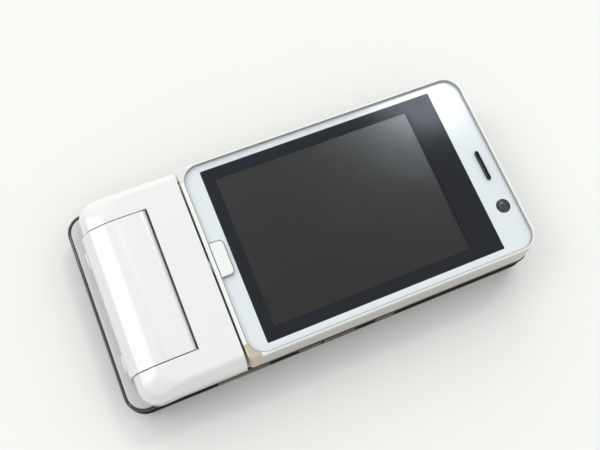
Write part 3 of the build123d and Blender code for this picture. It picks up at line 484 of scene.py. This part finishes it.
CLEAR_FINISHES = {
    "clear_panel": dict(colour=(0.985, 0.995, 1.0), ior=1.0),
    "camera_glass": dict(colour=(0.42, 0.44, 0.50), ior=1.52),
}
finishes = {name: new_finish(name, **values) for name, values in FINISHES.items()}
finishes.update((name, clear_finish(name, **values)) for name, values in CLEAR_FINISHES.items())

# Where the caps and the frame change colour, along an axis, and the caps' colour on the far side. The frame's
# sides are painted darker than its white top and hinge edge, as painted shade.
CAP_FADE_Y = (-5.0, 5.0)
# The colour the caps fade into towards +Y, with their metal fading to none.
CAP_FAR_COLOUR = (0.80, 0.80, 0.785)
HINGE_EDGE_X = (-21.6, -21.7)
FRAME_EDGE_Z = (17.9, 18.5)

# Nodes whose look differs from that of their CAD slot
NODE_FINISHES = {
    "shaft_cover": "tab_white",
    "base_front_case": "deck_painted_shade",
    "base_rear_case": "rear_gloss",
    "battery_cover": "rear_gloss",
}


def fade_colour(finish, axis, places, colour):
    """Fades a finish's colour into another along an Object axis, between two places; returns the fade."""
    tree = finishes[finish].node_tree
    shader = tree.nodes["Principled BSDF"]
    own = shader.inputs["Base Color"].links[0].from_socket
    axes = tree.nodes.new("ShaderNodeSeparateXYZ")
    fade = tree.nodes.new("ShaderNodeMapRange")
    fade.inputs["From Min"].default_value = places[0] * MM
    fade.inputs["From Max"].default_value = places[1] * MM
    mix = tree.nodes.new("ShaderNodeMix")
    mix.data_type = "RGBA"
    mix.inputs["B"].default_value = (*colour, 1.0)
    link = tree.links.new
    link(object_place(tree), axes.inputs["Vector"])
    link(axes.outputs[axis], fade.inputs["Value"])
    link(fade.outputs["Result"], mix.inputs["Factor"])
    link(own, mix.inputs["A"])
    link(mix.outputs["Result"], shader.inputs["Base Color"])
    return fade


def part_frame_colours():
    """The caps fade from champagne to a pale silver, and from metal to none, towards +Y; the frame turns
    white on its top and hinge edge, while its sides keep a darker colour that is painted shade.
    """
    fade = fade_colour("champagne", "Y", CAP_FADE_Y, CAP_FAR_COLOUR)
    tree = finishes["champagne"].node_tree
    metal = tree.nodes.new("ShaderNodeMapRange")
    metal.inputs["To Min"].default_value = FINISHES["champagne"]["metallic"]
    metal.inputs["To Max"].default_value = 0.0
    tree.links.new(fade.outputs["Result"], metal.inputs["Value"])
    tree.links.new(metal.outputs["Result"], tree.nodes["Principled BSDF"].inputs["Metallic"])
    fade_colour("silver_side", "X", HINGE_EDGE_X, FINISHES["rim_white"]["colour"])
    fade_colour("silver_side", "Z", FRAME_EDGE_Z, FINISHES["rim_white"]["colour"])


part_frame_colours()
for name, node in nodes.items():
    slot = node.data.materials[0].name.split(".")[0]
    node.data.materials[0] = finishes[NODE_FINISHES.get(name, slot)]


# Hinge block and knuckle: outlines stacked along a side profile

# The fold's axis and the radius of the barrel about it, as in the CAD part
FOLD_X, FOLD_Z, BARREL = -42.25, 14.1, 4.9
KNUCKLE_HALF, SEAM, GROOVE = 16.7, 0.25, 0.35
KNUCKLE_RIGHT, KNUCKLE_LIP = -32.05, -47.75
KNUCKLE_ROUND = 1.3

# The profile of the nose that the block and the knuckle share
NOSE_EDGE = (-45.55, 17.45)
NOSE_LEAN = 0.15
NOSE_ROUNDS = (1.4, 0.6, 1.6)
SLOPE_END, FLAT_START = -41.0, -37.6

SIDE_ROUND_WIDTH, SIDE_ROUND_HEIGHT = 2.9, 6.0
BLOCK_CORNER, FRONT_CORNER = 4.2, 0.3
BLOCK_CORNER_STEPS, FRONT_CORNER_STEPS = 14, 4
EDGE_BEVEL = 0.12


def round_path(points, reaches, steps=16):
    """A path whose inner corners are curves from a reach before the corner to a reach after it.

    A corner c between a and b is (1 - t)^2 a + 2 t (1 - t) c + t^2 b, and no reach is more than half of
    its leg."""
    points = np.asarray(points, float)
    t = np.linspace(0, 1, steps)[:, None]
    parts = [points[:1]]
    for before, corner, after, reach in zip(points[:-2], points[1:-1], points[2:], reaches):
        a = corner + (before - corner) * min(reach / np.linalg.norm(before - corner), 0.5)
        b = corner + (after - corner) * min(reach / np.linalg.norm(after - corner), 0.5)
        parts.append((1 - t) ** 2 * a + 2 * t * (1 - t) * corner + t ** 2 * b)
    parts.append(points[-1:])
    return np.concatenate(parts)


def nose_profile(foot_x, front_x, low_z, top_z):
    """Side profile, as x and z: up a steep front, over an edge, up a slope and into the flat top."""
    path = [(foot_x, low_z), (front_x, FOLD_Z), NOSE_EDGE, (SLOPE_END, top_z), (FLAT_START, top_z)]
    return round_path(path, NOSE_ROUNDS).T


def lay_shell(name, across, along, heights, body, node):
    """Outlines of x and y, one for each height, stacked as a pearl white shell in place of a CAD node."""
    loops = [(np.column_stack([x, y]), z) for x, y, z in zip(across, along, heights)]
    shell = lay_mesh(name, *stack_loops(loops), body, "pearl_white", "pearl_white")
    soften(shell, EDGE_BEVEL)
    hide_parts(node)


def block_shell():
    """A U-shaped outline at each point of the profile: nose at x, sides at half, a way for the knuckle.

    Above its shoulder the side is a quarter ellipse, half = flat + width sqrt(1 - climb^2), where climb is
    (z - shoulder) / height. The way's wall stands at fold x + sqrt(cut^2 - (z - fold z)^2), an arc about
    the fold, so that the knuckle clears it while the block folds."""
    low, high = node_box("hinge_outer_cover")
    foot_x = FOLD_X - math.sqrt(BARREL ** 2 - (low[2] - FOLD_Z) ** 2)
    x, z = nose_profile(foot_x, FOLD_X - BARREL, low[2], high[2])
    shoulder = high[2] - SIDE_ROUND_HEIGHT
    climb = np.clip((z - shoulder) / SIDE_ROUND_HEIGHT, 0, 1)
    half = high[1] - SIDE_ROUND_WIDTH + SIDE_ROUND_WIDTH * np.sqrt(1 - climb ** 2)
    cut = math.hypot(KNUCKLE_RIGHT - FOLD_X + GROOVE, BARREL)
    way = FOLD_X + np.sqrt(cut ** 2 - (z - FOLD_Z) ** 2)
    inner = np.full_like(x, KNUCKLE_HALF + SEAM)
    front = np.full_like(x, high[0])
    wide = np.linspace(0, math.pi / 2, BLOCK_CORNER_STEPS)
    small = np.linspace(0, math.pi / 2, FRONT_CORNER_STEPS)

    def corner(cx, cy, r, angles):
        return cx[:, None] + r * np.cos(angles)[None, :], cy[:, None] + r * np.sin(angles)[None, :]

    runs = [
        corner(front - FRONT_CORNER, half - FRONT_CORNER, FRONT_CORNER, small),
        corner(x + BLOCK_CORNER, half - BLOCK_CORNER, BLOCK_CORNER, wide + math.pi / 2),
        (np.stack([x, way, way, x], axis=1), np.stack([inner, inner, -inner, -inner], axis=1)),
        corner(x + BLOCK_CORNER, BLOCK_CORNER - half, BLOCK_CORNER, wide + math.pi),
        corner(front - FRONT_CORNER, FRONT_CORNER - half, FRONT_CORNER, small + 1.5 * math.pi),
    ]
    across, along = (np.concatenate(parts, axis=1) for parts in zip(*runs))
    lay_shell("hinge_shell", across, along, z, "hinge_block", "hinge_outer_cover")


def knuckle_shell():
    """A rectangle at each point of the profile: nose at x, right end drawn in by a quarter circle on top."""
    low, high = node_box("knuckle_cover")
    x, z = nose_profile(KNUCKLE_LIP, KNUCKLE_LIP + NOSE_LEAN, low[2], high[2])
    rise = np.clip(z - high[2] + KNUCKLE_ROUND, 0, KNUCKLE_ROUND)
    right = KNUCKLE_RIGHT - KNUCKLE_ROUND + np.sqrt(KNUCKLE_ROUND ** 2 - rise ** 2)
    side = np.full_like(x, KNUCKLE_HALF)
    across = np.stack([right, x, x, right], axis=1)
    along = np.stack([side, side, -side, -side], axis=1)
    lay_shell("knuckle_shell", across, along, z, "base", "knuckle_cover")


block_shell()
knuckle_shell()


# Rims and gasket: profiles of (inset, height) carried round outlines

BASE_HINGE_CORNER, BASE_END_CORNER = 4.5, 2.8
BEAD_WIDTH, BEAD_RISE, BEAD_SINK = 0.60, 0.22, 0.02
BEAD_SHARP = math.radians(80)
PANEL_CORNER = 4.0
TAB_GAP, NOTCH_CORNER, NOTCH_STEPS = 0.14, 1.14, 8
GASKET_OUT = 0.05
GASKET_PROFILE = ((-0.09, -0.14), (-0.09, -0.03), (0.09, -0.03), (0.09, -0.14))
RIM_OUT, RIM_CAP_GAP, RIM_LEAD = 0.13, 0.02, 2.0
RIM_PROFILE = ((0.0, -0.30), (0.0, -0.03), (-0.05, 0.0), (-0.14, -0.005), (-0.25, -0.06), (-0.33, -0.16),
               (-0.36, -0.30))


def rim_bead():
    """A low half-round bead on the side frame's rim, round the whole deck."""
    low, high = node_box("base_side_frame")
    loop = rounded_outline(low[0], high[0], high[1], BASE_HINGE_CORNER, BASE_END_CORNER, steps=22)
    bead = carry_round(loop, half_round(BEAD_WIDTH, -BEAD_SINK, BEAD_RISE), high[2])
    lay_mesh("rim_bead", *bead, "base", "rim_gloss", "dark_gloss", sharp=BEAD_SHARP)


def groove_loop(steps=18):
    """Middle line of the panel's groove: a rounded rectangle with a notch round the tab in its hinge edge.

    The notch goes between the outline's two hinge corners, and its own corners are quarter circles."""
    low, high = node_box("front_panel")
    tab = node_box("shaft_cover")[1]
    loop = rounded_outline(low[0], high[0], high[1], PANEL_CORNER, PANEL_CORNER, steps)
    half, deep, r = tab[1] + TAB_GAP, tab[0] + TAB_GAP, NOTCH_CORNER
    t = np.linspace(0, math.pi / 2, NOTCH_STEPS)
    upper = np.column_stack([deep - r + r * np.sin(t), half - r + r * np.cos(t)])
    notch = np.concatenate([[(low[0], half)], upper, upper[::-1] * (1, -1), [(low[0], -half)]])
    before, after = loop[:2 * steps], loop[2 * steps:]
    return inset_loop(np.concatenate([before, notch, after]), -GASKET_OUT)


def panel_gasket():
    """A grey line in the groove round the panel and the tab: a narrow flat band just under the top."""
    gasket = carry_round(groove_loop(), GASKET_PROFILE, node_box("front_panel")[1][2])
    lay_mesh("panel_gasket", *gasket, "display_half", "gasket_grey", "unit_black")


def frame_rim(steps=20):
    """A rounded white edge on the frame outside the groove, from one corner cap round to the other: partly
    the frame's own white and partly a painted highlight along its edge.
    """
    low, high = node_box("front_panel")
    cap = node_box("corner_caps")[1][0] + RIM_CAP_GAP
    half, corner = high[1] + RIM_OUT, PANEL_CORNER + RIM_OUT
    outline = rounded_outline(low[0], high[0] + RIM_OUT, half, corner, corner, steps)
    near_run, far_run = [(cap - RIM_LEAD, -half), (cap, -half)], [(cap, half), (cap - RIM_LEAD, half)]
    path = np.concatenate([near_run, outline[-steps:], outline[:steps], far_run])
    rim = carry_along(path, RIM_PROFILE, high[2])
    lay_mesh("frame_rim", *rim, "display_half", "rim_white", "silver_side")


# Earpiece and lenses

EAR_SLOT, EAR_WIDTH, EAR_DISH = 7.7, 0.9, 0.2
SLEEVE_LIFT = 0.02
SLEEVE_RIM = ((0.01, -0.03), (0.05, -0.01), (0.10, -0.03))
MESH_PITCH, MESH_WIRE, MESH_BEVEL = 0.30, 0.07, 0.015
MESH_SIDE_GAP, MESH_END_GAP = 0.08, 0.22
CROSS_WIRES, LONG_WIRES = np.arange(-11, 12), np.arange(-1, 2)
CROSS_LIFT, LONG_LIFT = 0.06, 0.10

LENS_RING_RADIUS = 1.68
LENS_RING_WIDTH, LENS_RING_RISE, LENS_RING_SINK = 0.62, 0.06, 0.01
DOME_RADIUS, DOME_RISE, DOME_LIFT = 1.10, 0.05, 0.005
DOME_NEAR_POLE, DOME_STEPS = 0.48 * math.pi, 8

# Radius and height of the pupil's rows, and inset and height round the rear lens
PUPIL_ROWS = ((0.34, 0.04), (0.34, 0.062), (0.30, 0.066))
BEZEL_PROFILE = ((0.01, 0.0), (0.01, -0.16), (0.10, -0.22), (0.55, -0.22), (0.80, -0.12), (0.90, 0.0))


def ear_opening():
    """A black sleeve lining the earpiece slot's walls, which paints the shade inside the slot, and at its
    foot a wire mesh: bars along and across.
    """
    x, y, foot = top_middle("earpiece")
    top = node_box("front_panel")[1][2] - EAR_DISH
    depth = foot + SLEEVE_LIFT - top
    profile = [(SLEEVE_RIM[0][0], depth), *SLEEVE_RIM, (SLEEVE_RIM[-1][0], depth)]
    sleeve = carry_round(stadium(x, y, EAR_SLOT, EAR_WIDTH), profile, top)
    lay_mesh("ear_shade_sleeve", *sleeve, "display_half", "unit_black", "unit_black")
    wire, reach, run = MESH_WIRE / 2, EAR_WIDTH / 2 - MESH_SIDE_GAP, EAR_SLOT / 2 - MESH_END_GAP
    cross_z, long_z = foot + CROSS_LIFT, foot + LONG_LIFT
    rows = [(x - reach, x + reach, k - wire, k + wire, cross_z, cross_z + MESH_WIRE)
            for k in y + CROSS_WIRES * MESH_PITCH]
    rows += [(k - wire, k + wire, y - run, y + run, long_z, long_z + MESH_WIRE)
             for k in x + LONG_WIRES * MESH_PITCH]
    mesh = lay_mesh("ear_mesh", *bars(rows), "display_half", "screw_steel", "screw_steel")
    soften(mesh, MESH_BEVEL, steps=2)


def front_lens():
    """The front camera seen through the panel: a black half-round ring, a low grey dome and a dark pupil.

    The dome is radius cos t wide and rises by rise sin t, to just short of its pole."""
    x, y, z = top_middle("sub_camera")
    section = half_round(LENS_RING_WIDTH, -LENS_RING_SINK, LENS_RING_RISE)
    ring = carry_round(circle(x, y, LENS_RING_RADIUS), section, z)
    lay_mesh("front_lens_ring", *ring, "display_half", "lens_black", "lens_black")
    t = np.linspace(0, DOME_NEAR_POLE, DOME_STEPS)
    radii, heights = DOME_RADIUS * np.cos(t), z + DOME_LIFT + DOME_RISE * np.sin(t)
    dome = stack_loops([(circle(x, y, radius), height) for radius, height in zip(radii, heights)])
    lay_mesh("front_lens_dome", *dome, "display_half", "lens_grey", "lens_black")
    pupil = stack_loops([(circle(x, y, radius), z + height) for radius, height in PUPIL_ROWS])
    lay_mesh("front_lens_pupil", *pupil, "display_half", "lens_black", "lens_black")


def rear_lens_bezel():
    """A drawn metal ring in the recess of the rear camera window, rounded towards the outside."""
    low, high = node_box("camera_window")
    x, y, r = (low[0] + high[0]) / 2, (low[1] + high[1]) / 2, (high[0] - low[0]) / 2
    ring = carry_round(circle(x, y, r, steps=64), BEZEL_PROFILE, low[2])
    lay_mesh("rear_lens_bezel", *ring, "base", "steel", "bright_trim")


# Stops, trim plate and finger ribs

DECK_Z = 9.5
STOP_OUT, STOP_Y = 0.10, 12.7
STOP_REACH = (0.52, 2.15, 0.85)
PLATE_X, PLATE_Z = (-30.3, -17.7), (4.8, 9.15)
PLATE_CORNER = 0.35
PLATE_INSETS, PLATE_FACES = (0.0, 0.0, 0.06), (0.10, -0.05, -0.09)
RIB_START, RIB_PITCH, RIB_COUNT = 4.0, 1.2, 5
RIB_REACH = (0.34, 7.0, 0.07)


def knuckle_stops():
    """Two low rounded stops on the deck at the knuckle's lip, one near each end of it."""
    shapes = [pebble((KNUCKLE_LIP - STOP_OUT, y, DECK_Z), STOP_REACH) for y in (-STOP_Y, STOP_Y)]
    lay_mesh("knuckle_stops", *join_shapes(shapes), "base", "rim_white", "pearl_white")


def side_plate():
    """A thin brown plate on the near side of the side frame, with a small chamfer round its face.

    Its rows are stacked along Z and then turned, so that the stack's height is the plate's Y."""
    face = node_box("base_side_frame")[0][1]
    middle, half = sum(PLATE_Z) / 2, (PLATE_Z[1] - PLATE_Z[0]) / 2
    loop = rounded_outline(*PLATE_X, half, PLATE_CORNER, PLATE_CORNER, steps=6)
    rows = zip(PLATE_INSETS, PLATE_FACES)
    points, faces = stack_loops([(inset_loop(loop, inset), face + out) for inset, out in rows])
    points = np.column_stack([points[:, 0], points[:, 2], points[:, 1] + middle])
    lay_mesh("side_plate", points, faces, "base", "side_brown", "key_silver")


def cover_grip():
    """Finger ribs across the battery cover, near the end that slides, standing down from its face."""
    low, high = node_box("battery_cover")
    places = low[0] + RIB_START + RIB_PITCH * np.arange(RIB_COUNT)
    shapes = [pebble((x, 0.0, low[2]), RIB_REACH) for x in places]
    lay_mesh("cover_grip", *join_shapes(shapes), "battery_cover", "rear_gloss", "dark_gloss")


rim_bead()
panel_gasket()
ear_opening()
front_lens()
rear_lens_bezel()
knuckle_stops()
side_plate()
frame_rim()
cover_grip()


# Marks on the keys, as thin raised prints

MARK_SINK, MARK_RISE = 0.01, 0.02
DIGITS = {"key_star": "*", "key_hash": "#", **{f"key_{k}": str(k) for k in range(10)}}
DIGIT_HEIGHT = 4.2
ARROW = ((-0.75, 0.0), (0.75, 0.0), (0.0, 0.95))
ARROW_OUT = 5.4
QUARTER_TURN = ((0.0, 1.0), (-1.0, 0.0))
PAD_RING_RADIUS, PAD_RING_WIDTH = 1.6, 0.28
HANDSET_RADIUS, HANDSET_WIDTH, HANDSET_SPAN, HANDSET_DROP = 1.9, 0.55, 0.95, 0.4
HANDSET_STEPS = 18
LOBE_RADIUS, LOBE_IN, LOBE_STEPS = 0.46, 0.12, 24
CALL_TURN, END_TURN = 0.7, 0.0  # radians
SOFT_BAR_X, SOFT_BAR_HALF, SOFT_BAR_CORNER = (-1.5, 1.5), 0.22, 0.2


def lay_mark(name, outlines, key, finish):
    """Closed outlines, as right and up, laid on a key's top: x = middle - up, y = middle + right."""
    x, y, z = top_middle(key)
    loops = [np.column_stack([x - outline[:, 1], y + outline[:, 0]]) for outline in outlines]
    shapes = [stack_loops([(loop, z - MARK_SINK), (loop, z + MARK_RISE)]) for loop in loops]
    lay_mesh(name, *join_shapes(shapes), key, finish, "key_white", smooth=False)


def digit_mark(key, sign):
    """A sign in the plain built-in face, made a mesh, turned to read across the phone and laid on a key."""
    curve = bpy.data.curves.new(key + "_sign", "FONT")
    curve.body = sign
    curve.size = DIGIT_HEIGHT * MM
    curve.align_x, curve.align_y = "CENTER", "CENTER"
    curve.extrude = MARK_RISE * MM
    holder = bpy.data.objects.new(key + "_sign", curve)
    mesh = bpy.data.meshes.new_from_object(holder)
    bpy.data.objects.remove(holder)
    place = Matrix.Translation(Vector(top_middle(key)) * MM)
    mesh.transform(place @ Matrix.Rotation(math.pi / 2, 4, "Z"))
    mesh.name = key + "_mark"
    mark = show_mesh(key + "_mark", mesh, "mark_grey")
    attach(mark, key)


def handset(turn):
    """A handset: a band between two arcs about a middle below it, a round lobe at each end, all turned."""
    t = np.linspace(math.pi / 2 - HANDSET_SPAN, math.pi / 2 + HANDSET_SPAN, HANDSET_STEPS)
    ray = np.column_stack([np.cos(t), np.sin(t)])
    outer = (HANDSET_RADIUS + HANDSET_WIDTH / 2) * ray
    inner = (HANDSET_RADIUS - HANDSET_WIDTH / 2) * ray[::-1]
    lobe_middles = (HANDSET_RADIUS - LOBE_IN) * ray[[0, -1]]
    lobes = [circle(x, y, LOBE_RADIUS, LOBE_STEPS) for x, y in lobe_middles]
    c, s = math.cos(turn), math.sin(turn)
    spin = np.array([(c, s), (-s, c)])
    middle = (0.0, HANDSET_RADIUS - HANDSET_DROP)
    return [(outline - middle) @ spin for outline in (np.concatenate([outer, inner]), *lobes)]


def pad_arrows():
    """Four arrows about the pad's middle, each a quarter turn on from the one before."""
    quarter = np.array(QUARTER_TURN)
    first = np.array(ARROW) + (0.0, ARROW_OUT)
    return [first @ np.linalg.matrix_power(quarter, k) for k in range(4)]


def pad_ring():
    """A flat ring on the pad's middle key."""
    x, y, z = top_middle("nav_center")
    profile = [(0.0, -MARK_SINK), (0.0, MARK_RISE),
               (PAD_RING_WIDTH, MARK_RISE), (PAD_RING_WIDTH, -MARK_SINK)]
    ring = carry_round(circle(x, y, PAD_RING_RADIUS), profile, z)
    lay_mesh("nav_center_mark", *ring, "nav_center", "mark_grey", "key_white")


def key_marks():
    """Digits on the dialling keys, arrows and a ring on the pad, handsets and bars on the keys about it."""
    for key, sign in DIGITS.items():
        digit_mark(key, sign)
    lay_mark("nav_ring_mark", pad_arrows(), "nav_ring", "rim_white")
    pad_ring()
    lay_mark("call_key_mark", handset(CALL_TURN), "call_key", "mark_green")
    lay_mark("end_key_mark", handset(END_TURN), "end_key", "mark_red")
    bar = rounded_outline(*SOFT_BAR_X, SOFT_BAR_HALF, SOFT_BAR_CORNER, SOFT_BAR_CORNER, steps=6)
    for key in ("soft_key_left", "soft_key_right"):
        lay_mark(key + "_mark", [bar], key, "mark_grey")


key_marks()


# Floor, light and camera

FLOOR_REACH = 3000.0

# A room that is brighter towards +X and +Z, in strengths of the world
ROOM_COLOUR = (0.995, 1.0, 0.985, 1.0)
ROOM_LEVEL = 0.43
ROOM_TILT = (0.16, -0.01, 0.39)

# Its windows: direction, angles from it in degrees where one begins and where it is full, strength
ROOM_WINDOWS = (
    ((0.390, 0.342, 0.855), 4.6, 1.0, 19.0),
    ((-0.640, 0.245, 0.730), 17.0, 10.0, 2.4),
    ((-0.100, 0.820, 0.560), 50.0, 10.0, 0.95),
)

# Camera, fitted to the outlines of the panel, block and base, with its angles in degrees
CAMERA_PLACE = (-34.30, -41.79, 183.29)
CAMERA_AZIMUTH, CAMERA_ELEVATION, CAMERA_ROLL = -38.03, 71.74, 16.23
CAMERA_LENS, CAMERA_SENSOR = 45.80, 36.0
CAMERA_NEAR, CAMERA_FAR = 10.0, 20000.0


def make_floor():
    """A wide plain sheet at z = 0: one quad with a soft, slightly grained finish."""
    corners = FLOOR_REACH * MM * np.array([(-1, -1, 0), (1, -1, 0), (1, 1, 0), (-1, 1, 0)])
    mesh = bpy.data.meshes.new("floor")
    mesh.from_pydata(corners.tolist(), [], [(0, 1, 2, 3)])
    floor = show_mesh("floor", mesh, "floor_paper")


def add_facing(tree, place, direction):
    """How far a place faces a direction: their dot product."""
    facing = tree.nodes.new("ShaderNodeVectorMath")
    facing.operation = "DOT_PRODUCT"
    facing.inputs[1].default_value = direction
    tree.links.new(place, facing.inputs[0])
    return facing.outputs["Value"]


def make_room():
    """A room as a world: level plus tilt dot direction, plus round windows that rise between two cosines."""
    world = bpy.data.worlds.new("soft_room")
    world.use_nodes = True
    tree = world.node_tree
    link = tree.links.new
    place = tree.nodes.new("ShaderNodeTexCoord").outputs["Generated"]
    total = add_math(tree, "ADD", {1: ROOM_LEVEL})
    link(add_facing(tree, place, ROOM_TILT), total.inputs[0])
    for direction, begins, full, strength in ROOM_WINDOWS:
        rise = tree.nodes.new("ShaderNodeMapRange")
        rise.interpolation_type = "SMOOTHSTEP"
        rise.inputs["From Min"].default_value = math.cos(math.radians(begins))
        rise.inputs["From Max"].default_value = math.cos(math.radians(full))
        rise.inputs["To Max"].default_value = strength
        link(add_facing(tree, place, Vector(direction).normalized()), rise.inputs["Value"])
        before, total = total, add_math(tree, "ADD", {})
        link(before.outputs[0], total.inputs[0])
        link(rise.outputs["Result"], total.inputs[1])
    room = tree.nodes["Background"]
    room.inputs["Color"].default_value = ROOM_COLOUR
    link(total.outputs[0], room.inputs["Strength"])
    bpy.context.scene.world = world


def make_camera():
    """A camera that looks along an azimuth and an elevation, rolled about its own line of sight."""
    a, e, r = (math.radians(v) for v in (CAMERA_AZIMUTH, CAMERA_ELEVATION, CAMERA_ROLL))
    back = Vector((math.sin(a) * math.cos(e), -math.cos(a) * math.cos(e), math.sin(e)))
    level = Vector((math.cos(a), math.sin(a), 0.0))
    rise = back.cross(level)
    right = math.cos(r) * level + math.sin(r) * rise
    up = math.cos(r) * rise - math.sin(r) * level
    lens = bpy.data.cameras.new("camera")
    lens.lens, lens.sensor_width, lens.sensor_fit = CAMERA_LENS, CAMERA_SENSOR, "HORIZONTAL"
    lens.clip_start, lens.clip_end = CAMERA_NEAR * MM, CAMERA_FAR * MM
    camera = bpy.data.objects.new("camera", lens)
    bpy.context.scene.collection.objects.link(camera)
    turn = Matrix((right, up, back)).transposed().to_4x4()
    camera.matrix_world = Matrix.Translation(Vector(CAMERA_PLACE) * MM) @ turn
    bpy.context.scene.camera = camera


make_floor()
make_room()
make_camera()
bpy.context.scene.view_settings.view_transform = "Standard"
